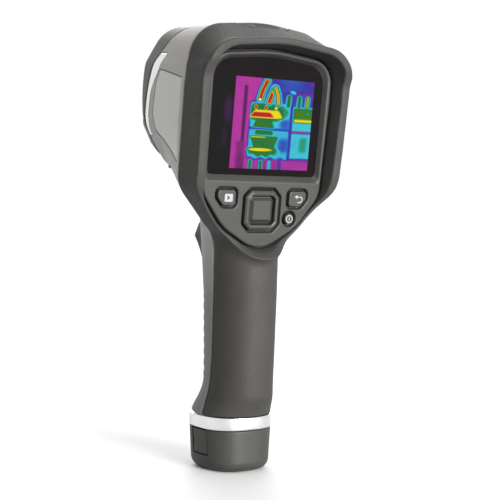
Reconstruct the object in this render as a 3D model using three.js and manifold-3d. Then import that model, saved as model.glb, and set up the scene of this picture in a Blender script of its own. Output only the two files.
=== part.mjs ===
// Handheld thermal imaging camera with a pistol grip, standing on its battery base.
// Millimetres, +Z up, +Y towards the lens, +X to the user's right.
// The origin is the centre of the flat underside of the battery base.
import * as THREE from 'three';
import { mergeVertices } from 'three/addons/utils/BufferGeometryUtils.js';
import Module from 'manifold-3d';

const wasm = await Module();
wasm.setup();

// ---------------------------------------------------------------------------
// Driving dimensions
// ---------------------------------------------------------------------------
const CLEARANCE = 0.3;            // gap between neighbouring pieces
const WALL = 2.8;                 // housing wall thickness
const HEAD_TILT = THREE.MathUtils.degToRad(7.8);
const DISPLAY_CENTRE = [0, -30, 188];
const ARC_STEPS = 3;              // segments in each rounded corner of a head outline
const GRIP_SIDES = 28;            // points round the grip

const RIM_F = -13.1;              // rear crest of the bumper, along the head axis
const VISOR_F = -16.5;            // the crest stands out further above and beside the display's top
const FASCIA_F = -6.2;            // rear face of the fascia
const FASCIA_BACK_F = -2.8;       // front face of the fascia
const SEAM_F = 10.5;              // split between bumper and side walls, on the head axis
const SIDE_SQUARE_F = 43;         // where the side walls reach their front outline
const GROOVE_F = 54;              // where the side walls meet the front collar
const GROOVE_V = 3;               // height of the foremost point of that groove
const GROOVE_RADIUS = 58;
const COLLAR_DEPTH = 5.3;         // how far the front collar reaches past the groove
const COLLAR_V = 16;              // height of the collar's foremost point
const COLLAR_RADIUS = 64;         // its front face is a flatter arc than the groove
const NOSE_FRONT_F = 100;
const BEZEL_FRONT_F = 114;
const LENS_V = 4.5;               // height of the lens axis above the display centre
const LENS_RADIUS = 6.8;

const BASE_HEIGHT = 22.9;
const RING_BOTTOM = 23.2;
const RING_TOP = 30.2;
const GRIP_BOTTOM = 30.5;
const PACK_TOP = 98;
const BATTERY_HALF = [9.5, 10.4];
const BATTERY_Y = -5.2;

const MEMBRANE_F = -0.5;          // rear face of the keypad membrane
const KEY_ROOM = 1;               // space between a key flange and the membrane
const COVER_HALF_WIDTH = 16.5;
const COVER_REAR_F = 1.5;
const COVER_FRONT_F = 23;

// Head outlines, right half: x, height v above the display centre, corner radius.
const RIM = { brow: [45.9, 90], shoulder: [45.6, 41, 18], temple: [46.6, 19, 40],
  cheek: [45.4, -34, 16], jaw: [26, -56, 40], chin: [-75.5, 20] };
const BUMPER = { brow: [53.3, 90], shoulder: [42.4, 48.4, 19.5], temple: [44.5, 16, 40],
  cheek: [44.5, -35, 16], jaw: [25, -57, 40], chin: [-76, 20] };
const SIDE_REAR = { brow: [52.7, 90], shoulder: [41.6, 47.9, 19.5], temple: [43.8, 16, 40],
  cheek: [43.9, -34.5, 16], jaw: [24.4, -56.4, 40], chin: [-75.2, 20] };
const SIDE_FRONT = { brow: [50.4, 90], shoulder: [34, 47, 14], temple: [41.9, 28, 26],
  cheek: [42, -5.4, 24], jaw: [31, -27.5, 12], chin: [-39, 30] };
const NOSE_REAR = { brow: [36, 80], shoulder: [26, 33.4, 9], temple: [29.5, 20, 12],
  cheek: [29, -6, 8], jaw: [17, -20.5, 12], chin: [-25, 28] };
const NOSE_MID = { brow: [33, 80], shoulder: [22.5, 30.8, 8], temple: [25.2, 18, 12],
  cheek: [25, -8, 8], jaw: [15, -24.5, 10], chin: [-29, 25] };
const NOSE_FRONT = { brow: [27, 60], shoulder: [16.4, 25.2, 7], temple: [18.2, 14, 12],
  cheek: [18, -8, 7], jaw: [10.5, -21, 8], chin: [-24.5, 20] };
const PANEL = { brow: [38.8, 90], shoulder: [38.5, 34.6, 13], temple: [38.9, 14, 60],
  cheek: [37.2, -37.5, 14], jaw: [23.5, -54.8, 30], chin: [-69, 20] };
const WINDOW = { top: [35.4, 90], shoulder: [34.9, 31.6, 11], foot: [34.4, -27.2, 2.5], sill: 2.6 };

const COLOURS = {
  bumper: 0x3e3d3c, side: 0x7f7d78, panel: 0x9b9a95, fascia: 0x666663, key: 0x5c5d5a,
  glass: 0x161314, steel: 0xc9cbcc, rubber: 0x2e2d2c, board: 0x1f5a34, base: 0x50504b,
  black: 0x1c1c1d, brass: 0xb9974e, germanium: 0x4a4640, clear: 0x20242c, pack: 0x333336,
};

// ---------------------------------------------------------------------------
// Solids
// ---------------------------------------------------------------------------
const solidOf = (geometry) => {
  const bare = geometry.clone();
  for (const name of Object.keys(bare.attributes)) {
    if (name !== 'position') bare.deleteAttribute(name);
  }
  const merged = mergeVertices(bare, 1e-4);
  return new wasm.Manifold(new wasm.Mesh({
    numProp: 3,
    vertProperties: new Float32Array(merged.attributes.position.array),
    triVerts: new Uint32Array(merged.index.array),
  }));
};

const geometryOf = (solid) => {
  const mesh = solid.getMesh();
  const geometry = new THREE.BufferGeometry();
  geometry.setAttribute('position', new THREE.BufferAttribute(mesh.vertProperties, 3));
  geometry.setIndex(new THREE.BufferAttribute(mesh.triVerts, 1));
  const flat = geometry.toNonIndexed();
  flat.computeVertexNormals();
  return flat;
};

const moved = (geometry, matrix) => geometry.clone().applyMatrix4(matrix);

const join = (first, ...rest) => rest.reduce((sum, next) => sum.add(next), first);

const cut = (first, ...tools) => tools.reduce((left, tool) => left.subtract(tool), first);

const headMatrix = new THREE.Matrix4()
  .makeTranslation(...DISPLAY_CENTRE)
  .multiply(new THREE.Matrix4().makeRotationX(HEAD_TILT));

// A rounded polygon: corners are [x, y, radius], counter-clockwise.
const rounded = (corners, steps = ARC_STEPS) => {
  const points = [];
  corners.forEach(([x, y, radius], i) => {
    const before = corners[(i + corners.length - 1) % corners.length];
    const after = corners[(i + 1) % corners.length];
    const corner = new THREE.Vector2(x, y);
    const inward = new THREE.Vector2(before[0], before[1]).sub(corner).normalize();
    const outward = new THREE.Vector2(after[0], after[1]).sub(corner).normalize();
    const half = Math.acos(THREE.MathUtils.clamp(inward.dot(outward), -1, 1)) / 2;
    const centre = inward.clone().add(outward).normalize()
      .multiplyScalar(radius / Math.sin(half)).add(corner);
    const start = inward.clone().multiplyScalar(radius / Math.tan(half)).add(corner).sub(centre);
    const side = Math.sign(inward.cross(outward)) || 1;
    const sweep = -side * (Math.PI - 2 * half);
    for (let step = 0; step <= steps; step += 1) {
      points.push(start.clone().rotateAround(new THREE.Vector2(), (sweep * step) / steps).add(centre));
    }
  });
  return points;
};

// The ten corners of a head outline, counter-clockwise from the brow.
const headCorners = ({ brow, shoulder, temple, cheek, jaw, chin }) => [
  [0, brow[0], brow[1]],
  [-shoulder[0], shoulder[1], shoulder[2]],
  [-temple[0], temple[1], temple[2]],
  [-cheek[0], cheek[1], cheek[2]],
  [-jaw[0], jaw[1], jaw[2]],
  [0, chin[0], chin[1]],
  [jaw[0], jaw[1], jaw[2]],
  [cheek[0], cheek[1], cheek[2]],
  [temple[0], temple[1], temple[2]],
  [shoulder[0], shoulder[1], shoulder[2]],
];

// Moves every edge of a convex polygon inwards; a negative inset moves it outwards.
const insetCorners = (corners, inset) => corners.map(([x, y, radius], i) => {
  const before = corners[(i + corners.length - 1) % corners.length];
  const after = corners[(i + 1) % corners.length];
  const along = new THREE.Vector2(x - before[0], y - before[1]).normalize();
  const next = new THREE.Vector2(after[0] - x, after[1] - y).normalize();
  const normal = new THREE.Vector2(-along.y - next.y, along.x + next.x).normalize();
  const reach = inset / Math.cos(Math.acos(THREE.MathUtils.clamp(along.dot(next), -1, 1)) / 2);
  return [x + normal.x * reach, y + normal.y * reach, Math.max(radius - inset, 0.6)];
});

const headRing = (outline, inset = 0) => rounded(insetCorners(headCorners(outline), inset));

// A closed body through rings of points that all have the same count.
const loft = (rings) => {
  const count = rings[0].length;
  const positions = rings.flat().flatMap((p) => [p.x, p.y, p.z]);
  const index = [];
  for (let r = 0; r + 1 < rings.length; r += 1) {
    for (let i = 0; i < count; i += 1) {
      const a = r * count + i;
      const b = r * count + ((i + 1) % count);
      index.push(a, b, b + count, a, b + count, a + count);
    }
  }
  const cap = (ring, offset, reverse) => {
    const normal = new THREE.Vector3();
    ring.forEach((p, i) => normal.add(p.clone().cross(ring[(i + 1) % count])));
    const along = ring[1].clone().sub(ring[0]).normalize();
    const across = normal.clone().normalize().cross(along);
    const flat = ring.map((p) => new THREE.Vector2(p.dot(along), p.dot(across)));
    THREE.ShapeUtils.triangulateShape(flat, []).forEach(([a, b, c]) => {
      index.push(...(reverse ? [a, c, b] : [a, b, c]).map((k) => k + offset));
    });
  };
  cap(rings[0], 0, true);
  cap(rings[rings.length - 1], (rings.length - 1) * count, false);
  const geometry = new THREE.BufferGeometry();
  geometry.setAttribute('position', new THREE.Float32BufferAttribute(positions, 3));
  const inward = signedVolume(positions, index) < 0;
  geometry.setIndex(inward ? flipped(index) : index);
  return geometry;
};

const flipped = (index) => {
  const out = [];
  for (let i = 0; i < index.length; i += 3) out.push(index[i], index[i + 2], index[i + 1]);
  return out;
};

const signedVolume = (positions, index) => {
  const at = (k) => new THREE.Vector3(...positions.slice(3 * k, 3 * k + 3));
  let sum = 0;
  for (let i = 0; i < index.length; i += 3) {
    sum += at(index[i]).dot(at(index[i + 1]).cross(at(index[i + 2])));
  }
  return sum / 6;
};

// Rings of a head loft: [f, outline, inset] each; f runs along the head axis.
const headLoft = (sections) => loft(sections.map(([f, outline, inset = 0]) => (
  headRing(outline, inset).map((p) => new THREE.Vector3(p.x, f, p.y))
)));

// A prism of an (x, v) outline between two stations of the head axis.
const prism = (points, fromF, toF) => loft([fromF, toF].map((f) => (
  points.map((p) => new THREE.Vector3(p.x, f, p.y))
)));

// A prism of an (f, v) side profile between two x values.
const sidePrism = (points, fromX, toX) => loft([fromX, toX].map((x) => (
  points.map((p) => new THREE.Vector3(x, p.x, p.y))
)));

const box = (x, y, z, width, depth, height) => (
  new THREE.BoxGeometry(width, depth, height).translate(x, y, z)
);

// A cylinder along the head axis.
const axial = (radius, fromF, toF, x, v, sides = 24) => (
  new THREE.CylinderGeometry(radius, radius, toF - fromF, sides).translate(x, (fromF + toF) / 2, v)
);

// A turned part about the head axis through (0, v); the profile is [radius, f] pairs.
const turned = (profile, v, sides = 32) => (
  new THREE.LatheGeometry(profile.map(([r, f]) => new THREE.Vector2(r, f)), sides)
    .translate(0, 0, v)
);

const xPin = (radius, length, y, z, sides = 16) => (
  new THREE.CylinderGeometry(radius, radius, length, sides).rotateZ(Math.PI / 2).translate(0, y, z)
);

// ---------------------------------------------------------------------------
// Assembly
// ---------------------------------------------------------------------------
const camera = new THREE.Group();
const head = new THREE.Group();
head.position.set(...DISPLAY_CENTRE);
head.rotation.x = HEAD_TILT;
camera.add(head);

const piece = (parent, name, geometry, colour, roughness = 0.7, metalness = 0) => {
  const material = new THREE.MeshStandardMaterial({ color: colour, roughness, metalness });
  const mesh = new THREE.Mesh(geometry, material);
  mesh.name = name;
  parent.add(mesh);
};

// ---------------------------------------------------------------------------
// Head and grip volumes
// ---------------------------------------------------------------------------
// Whole head at a given inset, split surface ignored; `from` and `to` trim its length.
const headVolume = (inset, from = RIM_F - 4, to = GROOVE_F + 4) => solidOf(moved(headLoft([
  [from, RIM, inset],
  [Math.max(from + 0.5, RIM_F + 2), RIM, inset],
  [SEAM_F - 3, BUMPER, inset],
  [SEAM_F, BUMPER, inset],
  [SEAM_F + 0.1, SIDE_REAR, inset],
  [SIDE_SQUARE_F, SIDE_FRONT, inset],
  [to, SIDE_FRONT, inset + 0.5],
]), headMatrix));

// Grip sections: height, centre depth, half width and half depth.
const GRIP_SECTIONS = [
  [GRIP_BOTTOM, -0.4, 20.6, 22.6],
  [35, -2.2, 19.4, 23.0],
  [40, -5.8, 18.0, 22.8],
  [47, -7.9, 16.9, 21.3],
  [62, -8.5, 17.0, 21.8],
  [98, -9.3, 17.5, 22.9],
  [118, -8.7, 18.2, 23.7],
  [134, -8.0, 18.6, 24.4],
  [152, -5.0, 19.0, 23.6],
];
const GRIP_EXPONENT = 2.3;

const superellipse = (halfX, halfY, centreY, z, exponent, sides = GRIP_SIDES) => (
  Array.from({ length: sides }, (_, i) => {
    const angle = (2 * Math.PI * i) / sides;
    const c = Math.cos(angle);
    const s = Math.sin(angle);
    return new THREE.Vector3(
      halfX * Math.sign(c) * Math.abs(c) ** (2 / exponent),
      centreY + halfY * Math.sign(s) * Math.abs(s) ** (2 / exponent),
      z,
    );
  })
);

const gripLoft = (sections, inset) => solidOf(loft(sections.map(([z, centre, halfX, halfY]) => (
  superellipse(halfX - inset, halfY - inset, centre, z, GRIP_EXPONENT)
))));

const gripVolume = (inset) => gripLoft(GRIP_SECTIONS, inset);

// The space inside the grip leans forward at its top, clear of the keypad.
const gripSpace = () => gripLoft([
  [GRIP_BOTTOM - 1, ...GRIP_SECTIONS[0].slice(1)],
  ...GRIP_SECTIONS.slice(1, 6),
  [116, -4, 17.3, 18.3],
  [152, 4, 19.8, 19.8],
], WALL);

// The split between rear and front housings, in side view, from the top down.
const SPLIT = [
  [-30, 262], [-25.6, 232], [-19.8, 189], [-15.6, 160], [-13.8, 142], [-11.2, 124],
  [-9.8, 98], [-7.6, 62], [-5.0, 44], [-3.0, 33], [-2.4, 20],
];
const splitCurve = new THREE.SplineCurve(SPLIT.map(([y, z]) => new THREE.Vector2(y, z)));

// Everything behind (side -1) or ahead (side +1) of the split, kept half a clearance off it.
const splitHalf = (side) => {
  const edge = splitCurve.getPoints(20).map((p) => new THREE.Vector2(p.x + side * CLEARANCE / 2, p.y));
  const outline = [...edge, new THREE.Vector2(side * 130, 20), new THREE.Vector2(side * 130, 262)];
  return solidOf(sidePrism(outline, -60, 60));
};

// Side view of the groove in front of the side walls: an arc that runs down to the trigger space.
const GROOVE_FOOT = -36;
const GROOVE_HEAD = 53;
const grooveArc = (offset, radius, tip) => {
  const steps = 10;
  const top = Math.asin((GROOVE_HEAD - tip) / radius);
  const foot = Math.asin((GROOVE_FOOT - tip) / radius);
  return Array.from({ length: steps + 1 }, (_, i) => {
    const angle = top + ((foot - top) * i) / steps;
    return new THREE.Vector2(
      GROOVE_F - radius + offset + radius * Math.cos(angle),
      tip + radius * Math.sin(angle),
    );
  });
};

// Everything behind the groove or below its foot, moved along the head axis; head frame.
const behindGroove = (offset, radius = GROOVE_RADIUS, tip = GROOVE_V) => {
  const arc = grooveArc(offset, radius, tip);
  const far = 120;
  const floor = GROOVE_FOOT - 190;
  const outline = [
    ...arc, new THREE.Vector2(far, GROOVE_FOOT), new THREE.Vector2(far, floor),
    new THREE.Vector2(-far, floor), new THREE.Vector2(-far, arc[0].y),
  ];
  return solidOf(sidePrism(outline, -60, 60));
};

const toWorld = (solid) => solidOf(moved(geometryOf(solid), headMatrix));
const toHead = (solid) => solidOf(moved(geometryOf(solid), headMatrix.clone().invert()));

// The bumper's rear face in side view: proud round the display, low round the keypad.
const rearFace = () => {
  const curve = new THREE.SplineCurve([
    [VISOR_F, 60], [VISOR_F, 46], [VISOR_F, 32], [(VISOR_F + RIM_F) / 2, 27], [RIM_F, 22], [RIM_F, 0],
    [RIM_F + 0.4, -25], [-9.6, -37], [-5.9, -46.5], [-5.1, -57], [-7.6, -65], [-12.4, -70.5], [-17, -76],
  ].map(([f, v]) => new THREE.Vector2(f, v)));
  const outline = [...curve.getPoints(36), new THREE.Vector2(80, -76), new THREE.Vector2(80, 60)];
  return solidOf(moved(sidePrism(outline, -60, 60), headMatrix));
};

// ---------------------------------------------------------------------------
// Openings shared by the housings
// ---------------------------------------------------------------------------
// The connector cover in plan: round at its rear corners; `from` and `to` are heights v.
const coverBlock = (grow, from, to) => {
  const outline = rounded(insetCorners([
    [-COVER_HALF_WIDTH, COVER_REAR_F, 9], [COVER_HALF_WIDTH, COVER_REAR_F, 9],
    [COVER_HALF_WIDTH, COVER_FRONT_F, 1.5], [-COVER_HALF_WIDTH, COVER_FRONT_F, 1.5],
  ], -grow), 4);
  return solidOf(loft([from, to].map((v) => outline.map((p) => new THREE.Vector3(p.x, p.y, v)))));
};

// The pocket under the connector cover, with room for its front edge to swing down.
const SWING_ROOM = 1.1;
const topPocket = () => toWorld(coverBlock(CLEARANCE, 46, 62).add(solidOf(box(
  0, COVER_FRONT_F - 1 + SWING_ROOM / 2, 54,
  2 * (COVER_HALF_WIDTH + CLEARANCE), 2 + SWING_ROOM, 16,
))));

const SCREWS = [
  { name: 'housing_screw_lower', x: 0, y: 15.6, z: 42.5 },
  { name: 'housing_screw_left', x: -12, y: 18.4, z: 146 },
  { name: 'housing_screw_right', x: 12, y: 18.4, z: 146 },
];
const SCREW_RADIUS = 2.5;

const screwHole = ({ x, z }) => solidOf(
  new THREE.CylinderGeometry(SCREW_RADIUS + CLEARANCE, SCREW_RADIUS + CLEARANCE, 14, 16)
    .translate(x, 18, z),
);

const TRIGGER_HALF_WIDTH = 6.5;
const TRIGGER_PIVOT = [13.5, 137];

const triggerSlot = () => solidOf(
  box(0, 16, 121, 2 * (TRIGGER_HALF_WIDTH + 0.6), 24, 41),
);

const PAD_BOTTOM = 50;
const PAD_TOP = 97;
const PAD_HALF_WIDTH = 14.5;
const PAD_GROOVES = 7;
const PAD_PITCH = 6.2;

const padSlab = (clearance) => solidOf(box(
  0, 20, (PAD_BOTTOM + PAD_TOP) / 2,
  2 * (PAD_HALF_WIDTH + clearance), 30, PAD_TOP - PAD_BOTTOM + 2 * clearance,
));

// Side panel outline in (f, v), counter-clockwise from its lower rear tip.
const PANEL_OUTLINE = [
  [14, -24, 2], [43, -9.4, 4], [45.8, 2, 8], [44.2, 18, 4], [40.6, 24.2, 2], [13.8, 20.6, 1.5],
];

const sidePanelPrism = (clearance, side) => solidOf(moved(sidePrism(
  rounded(insetCorners(PANEL_OUTLINE, -clearance)), side * 30, side * 52,
), headMatrix));

const TRIM_DEPTH = 1.6;
const TRIM_WIDTH = 3;
const trimRange = (side, clearance) => solidOf(
  box(side * 40, 46, 10.5, 22, 60, 45 + 2 * clearance),
);

const trimBand = (side, clearance) => toWorld(
  behindGroove(-0.4 + clearance)
    .subtract(behindGroove(-0.4 - TRIM_WIDTH - clearance))
    .intersect(trimRange(side, clearance)),
);

// ---------------------------------------------------------------------------
// Housings
// ---------------------------------------------------------------------------
const outerBody = () => headVolume(0).intersect(rearFace()).add(gripVolume(0));

const cavity = () => {
  const headSpace = solidOf(moved(headLoft([
    [FASCIA_BACK_F + 1.6, BUMPER, WALL + 3.2],
    [SEAM_F - 1, BUMPER, WALL + 1],
    [SEAM_F + 1, SIDE_REAR, WALL],
    [SIDE_SQUARE_F, SIDE_FRONT, WALL],
    [GROOVE_F + 8, SIDE_FRONT, WALL],
  ]), headMatrix));
  return headSpace.add(gripSpace());
};

const rearHousing = () => {
  const pocket = solidOf(moved(headLoft([
    [RIM_F - 6, PANEL, -4.6],
    [RIM_F, PANEL, -3.6],
    [FASCIA_F + 0.6, PANEL, -1.1],
    [FASCIA_BACK_F + CLEARANCE, PANEL, -1.1],
  ]), headMatrix));
  const ledgeOpening = solidOf(moved(headLoft([
    [FASCIA_BACK_F - 2, PANEL, 0.8],
    [FASCIA_BACK_F + 4, PANEL, 0.8],
  ]), headMatrix));
  const half = outerBody().intersect(splitHalf(-1));
  return geometryOf(cut(half, pocket, ledgeOpening, cavity(), topPocket()));
};

const frontHousing = () => {
  const half = outerBody().intersect(splitHalf(1));
  const beyondGroove = toWorld(solidOf(box(0, 60, 0, 200, 100, 200)).subtract(behindGroove(0)));
  const recesses = [-1, 1].map((side) => (
    trimBand(side, 0.25).subtract(headVolume(TRIM_DEPTH + 0.3))
      .add(sidePanelPrism(0.25, side).subtract(headVolume(1.8)))
  ));
  const padRecess = padSlab(0.25).subtract(gripVolume(1.9));
  return geometryOf(cut(
    half, beyondGroove, cavity(), topPocket(), triggerSlot(), ...SCREWS.map(screwHole),
    ...recesses, padRecess,
  ));
};

piece(camera, 'rear_housing', rearHousing(), COLOURS.bumper, 0.75);
piece(camera, 'front_housing', frontHousing(), COLOURS.side, 0.7);

// ---------------------------------------------------------------------------
// Trims, side panels and grip pad
// ---------------------------------------------------------------------------
[['left', -1], ['right', 1]].forEach(([name, side]) => {
  const trim = trimBand(side, 0).intersect(headVolume(0)).subtract(headVolume(TRIM_DEPTH));
  piece(camera, `trim_${name}`, geometryOf(trim), COLOURS.steel, 0.25, 1);
  const panel = sidePanelPrism(0, side).intersect(headVolume(0.4)).subtract(headVolume(1.5));
  piece(camera, `side_panel_${name}`, geometryOf(panel), COLOURS.panel, 0.55);
});

const gripPad = () => {
  const slab = padSlab(0).intersect(gripVolume(0)).subtract(gripVolume(1.6));
  const grooves = Array.from({ length: PAD_GROOVES }, (_, i) => (
    solidOf(box(0, 20, PAD_BOTTOM + 5 + i * PAD_PITCH, 2 * PAD_HALF_WIDTH + 2, 30, 1.6))
      .subtract(gripVolume(0.8))
  ));
  return geometryOf(cut(slab, ...grooves));
};
piece(camera, 'grip_pad', gripPad(), COLOURS.side, 0.85);

// ---------------------------------------------------------------------------
// Front collar and nose
// ---------------------------------------------------------------------------
const noseVolume = (inset, front = NOSE_FRONT_F) => solidOf(headLoft([
  [40, SIDE_FRONT, WALL + 0.5 + inset],
  [45, SIDE_FRONT, WALL + 0.5 + inset],
  [63, NOSE_REAR, inset],
  [84, NOSE_MID, inset],
  [front, NOSE_FRONT, inset],
]));

const frontCollar = () => {
  const outer = solidOf(headLoft([
    [SEAM_F, SIDE_REAR, 0],
    [SIDE_SQUARE_F, SIDE_FRONT, 0],
    [62, SIDE_FRONT, 0.5],
  ])).intersect(behindGroove(COLLAR_DEPTH, COLLAR_RADIUS, COLLAR_V));
  return cut(outer, behindGroove(CLEARANCE), noseVolume(-CLEARANCE));
};
piece(head, 'front_collar', geometryOf(frontCollar()), COLOURS.rubber, 0.85);

const SHUTTER_F = 95.6;
const APERTURE_RADIUS = LENS_RADIUS + 0.7;
const CAMERA_V = 20.9;

const noseHousing = () => {
  const hollow = solidOf(headLoft([
    [39, SIDE_FRONT, WALL + 2.5],
    [44, SIDE_FRONT, WALL + 2.5],
    [62, NOSE_REAR, 2.2],
    [84, NOSE_MID, 2.2],
    [NOSE_FRONT_F - 2.4, NOSE_FRONT, 2.2],
  ]));
  const aperture = solidOf(axial(APERTURE_RADIUS, 90, 110, 0, LENS_V, 32));
  const cameraHole = solidOf(axial(3.8, 90, 110, 0, CAMERA_V));
  const leverSlot = solidOf(box(0, 88, -26, 7.4, 15, 14));
  return geometryOf(cut(noseVolume(0), hollow, aperture, cameraHole, leverSlot));
};
piece(head, 'nose_housing', noseHousing(), COLOURS.black, 0.7);

// ---------------------------------------------------------------------------
// Optics
// ---------------------------------------------------------------------------
piece(head, 'lens_bezel', turned([
  [8.4, NOSE_FRONT_F + CLEARANCE], [12.2, NOSE_FRONT_F + CLEARANCE], [12.2, BEZEL_FRONT_F - 3.5],
  [10.8, BEZEL_FRONT_F], [9.8, BEZEL_FRONT_F], [8.4, BEZEL_FRONT_F - 6],
  [8.4, NOSE_FRONT_F + CLEARANCE],
], LENS_V), COLOURS.rubber, 0.6);

piece(head, 'ir_lens', turned([
  [0, 88], [LENS_RADIUS, 88], [LENS_RADIUS, 91.4], [LENS_RADIUS - 0.7, 92.2],
  [4.8, 93], [2.8, 93.6], [0, 93.8],
], LENS_V, 24), COLOURS.germanium, 0.15, 0.6);

const BARREL_BORE = LENS_RADIUS + CLEARANCE;
piece(head, 'lens_barrel', turned([
  [BARREL_BORE, 74.4], [12, 74.4], [12, 78], [9.4, 78], [9.4, 91.6], [BARREL_BORE, 91.6],
  [BARREL_BORE, 87.7], [5.8, 87.7], [5.8, 84.5], [BARREL_BORE, 84.5], [BARREL_BORE, 74.4],
], LENS_V, 28), COLOURS.black, 0.45, 0.8);

piece(head, 'lens_retainer', turned([
  [BARREL_BORE, 91.9], [9.6, 91.9], [9.6, 93.6], [8, 94.2], [BARREL_BORE, 94.2],
  [BARREL_BORE, 91.9],
], LENS_V, 28), COLOURS.steel, 0.4, 0.9);

piece(head, 'camera_barrel', turned([
  [2.6, 88], [3.5, 88], [3.5, NOSE_FRONT_F + 0.6], [2.6, NOSE_FRONT_F + 0.6], [2.6, 88],
], CAMERA_V, 20), COLOURS.black, 0.5, 0.5);

piece(head, 'camera_lens', turned([
  [0, 96], [2.3, 96], [2.3, 98.6], [1.3, 99.1], [0, 99.3],
], CAMERA_V, 20), COLOURS.clear, 0.05);

const SHUTTER_TRAVEL = 14.7;
const shutterBlade = () => {
  const reach = APERTURE_RADIUS - 0.2;
  const centre = LENS_V - SHUTTER_TRAVEL;
  return prism(rounded([
    [reach, centre - reach, 4], [reach, centre + reach, 4],
    [-reach, centre + reach, 4], [-reach, centre - reach, 4],
  ]), SHUTTER_F, SHUTTER_F + 0.8);
};
piece(head, 'lens_shutter', shutterBlade(), COLOURS.black, 0.5, 0.3);

const LEVER_PIVOT = [88, -15.5];
const shutterLever = () => {
  const hub = solidOf(xPin(2.6, 6.4, LEVER_PIVOT[0], LEVER_PIVOT[1]));
  const arm = solidOf(box(0, LEVER_PIVOT[0], -22, 4.6, 3.2, 13.6));
  const tab = solidOf(sidePrism(rounded([
    [84.6, -33, 1], [91.4, -33, 1], [90.2, -28.6, 0.8], [85.8, -28.6, 0.8],
  ]), -3.4, 3.4));
  return geometryOf(join(hub, arm, tab));
};
piece(head, 'shutter_lever', shutterLever(), COLOURS.black, 0.6);

piece(head, 'sensor_core', geometryOf(join(
  solidOf(box(0, 65, LENS_V, 25, 14, 25)),
  solidOf(axial(BARREL_BORE - 0.3, 71, 76, 0, LENS_V)),
)), COLOURS.steel, 0.5, 0.8);
piece(head, 'sensor_board', box(0, 56.6, LENS_V, 34, 1.6, 32), COLOURS.board, 0.6);

// ---------------------------------------------------------------------------
// Display and keypad
// ---------------------------------------------------------------------------
const windowRing = (grow, sill = 0) => {
  const { top, shoulder, foot } = WINDOW;
  return rounded(insetCorners([
    [0, top[0], top[1]], [-shoulder[0], shoulder[1], shoulder[2]],
    [-foot[0], foot[1] - sill, foot[2]], [foot[0], foot[1] - sill, foot[2]],
    [shoulder[0], shoulder[1], shoulder[2]],
  ], -grow), 4);
};

// Keys: outline corners in (x, v); travel is along the head axis.
const LEFT_KEY = [
  [-17.2, -43.4, 1.8], [-17.2, -35.2, 1.8], [-28.2, -35.2, 1.8], [-28.2, -39.2, 1.5], [-24.6, -43.4, 1.5],
];
const RIGHT_KEY = LEFT_KEY.map(([x, v, r]) => [-x, v, r]).reverse();
const POWER_KEY = { x: 18.3, v: -50.2, radius: 2.9 };
const NAV_CENTRE_V = -45.7;
const octagon = (halfX, halfV, chamfer, radius) => [
  [halfX, -halfV + chamfer], [halfX, halfV - chamfer], [halfX - chamfer, halfV],
  [-halfX + chamfer, halfV], [-halfX, halfV - chamfer], [-halfX, -halfV + chamfer],
  [-halfX + chamfer, -halfV], [halfX - chamfer, -halfV],
].map(([x, v]) => [x, v + NAV_CENTRE_V, radius]);
const NAV_OUTER = octagon(10.7, 10.6, 3.6, 1);
const NAV_INNER = octagon(8.2, 7.8, 1.8, 0.6);
const NAV_CENTRE = octagon(7.7, 7.3, 1.7, 0.5);

const circleCorners = ({ x, v, radius }, sides = 12) => Array.from({ length: sides }, (_, i) => {
  const angle = (2 * Math.PI * i) / sides;
  return [x + radius * Math.cos(angle), v + radius * Math.sin(angle), radius * 0.2];
});

const KEY_OUTLINES = [LEFT_KEY, RIGHT_KEY, NAV_OUTER, circleCorners(POWER_KEY)];

const keyPrism = (corners, grow, fromF, toF, steps = 2) => (
  solidOf(prism(rounded(insetCorners(corners, -grow), steps), fromF, toF))
);

const fascia = () => {
  const plate = solidOf(headLoft([
    [FASCIA_F, PANEL, 0.8],
    [FASCIA_F + 0.7, PANEL, 0],
    [FASCIA_BACK_F, PANEL, 0],
  ]));
  const opening = solidOf(loft([
    [FASCIA_F - 1, 1.8, WINDOW.sill], [FASCIA_BACK_F - 0.6, 0, 0], [FASCIA_BACK_F + 1, 0, 0],
  ].map(([f, grow, sill]) => windowRing(grow, sill).map((p) => new THREE.Vector3(p.x, f, p.y)))));
  const holes = KEY_OUTLINES.flatMap((corners) => [
    keyPrism(corners, 0.35, FASCIA_F - 1, FASCIA_BACK_F + 1),
    keyPrism(corners, 1.5, FASCIA_F - 1, FASCIA_F + 1.5),
  ]);
  return geometryOf(cut(plate, opening, ...holes));
};
piece(head, 'fascia', fascia(), COLOURS.fascia, 0.65);

piece(head, 'display_window', loft([FASCIA_BACK_F + CLEARANCE, FASCIA_BACK_F + 1.4].map((f) => (
  windowRing(0.6).map((p) => new THREE.Vector3(p.x, f, p.y))
))), COLOURS.glass, 0.08);

piece(head, 'lcd_module', box(0, 1.2, 2, 68, 4.4, 56), COLOURS.black, 0.4);

const KEYPAD_CORNERS = [
  [33.4, -31.8, 1.5], [-33.4, -31.8, 1.5], [-33, -37.5, 6], [-21, -53.4, 16],
  [0, -65, 12], [21, -53.4, 16], [33, -37.5, 6],
];
const keypadSheet = (fromF, toF) => prism(rounded(KEYPAD_CORNERS), fromF, toF);
piece(head, 'keypad_membrane', keypadSheet(MEMBRANE_F, MEMBRANE_F + 0.9), COLOURS.rubber, 0.8);
piece(head, 'keypad_board', keypadSheet(0.7, 2.3), COLOURS.board, 0.6);

// A key: its cap, and a wider flange behind the fascia that keeps it in.
const KEY_FRONT_F = FASCIA_F - 0.3;
const FLANGE_F = FASCIA_BACK_F + CLEARANCE;
const FLANGE_BACK_F = MEMBRANE_F - KEY_ROOM;

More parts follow.
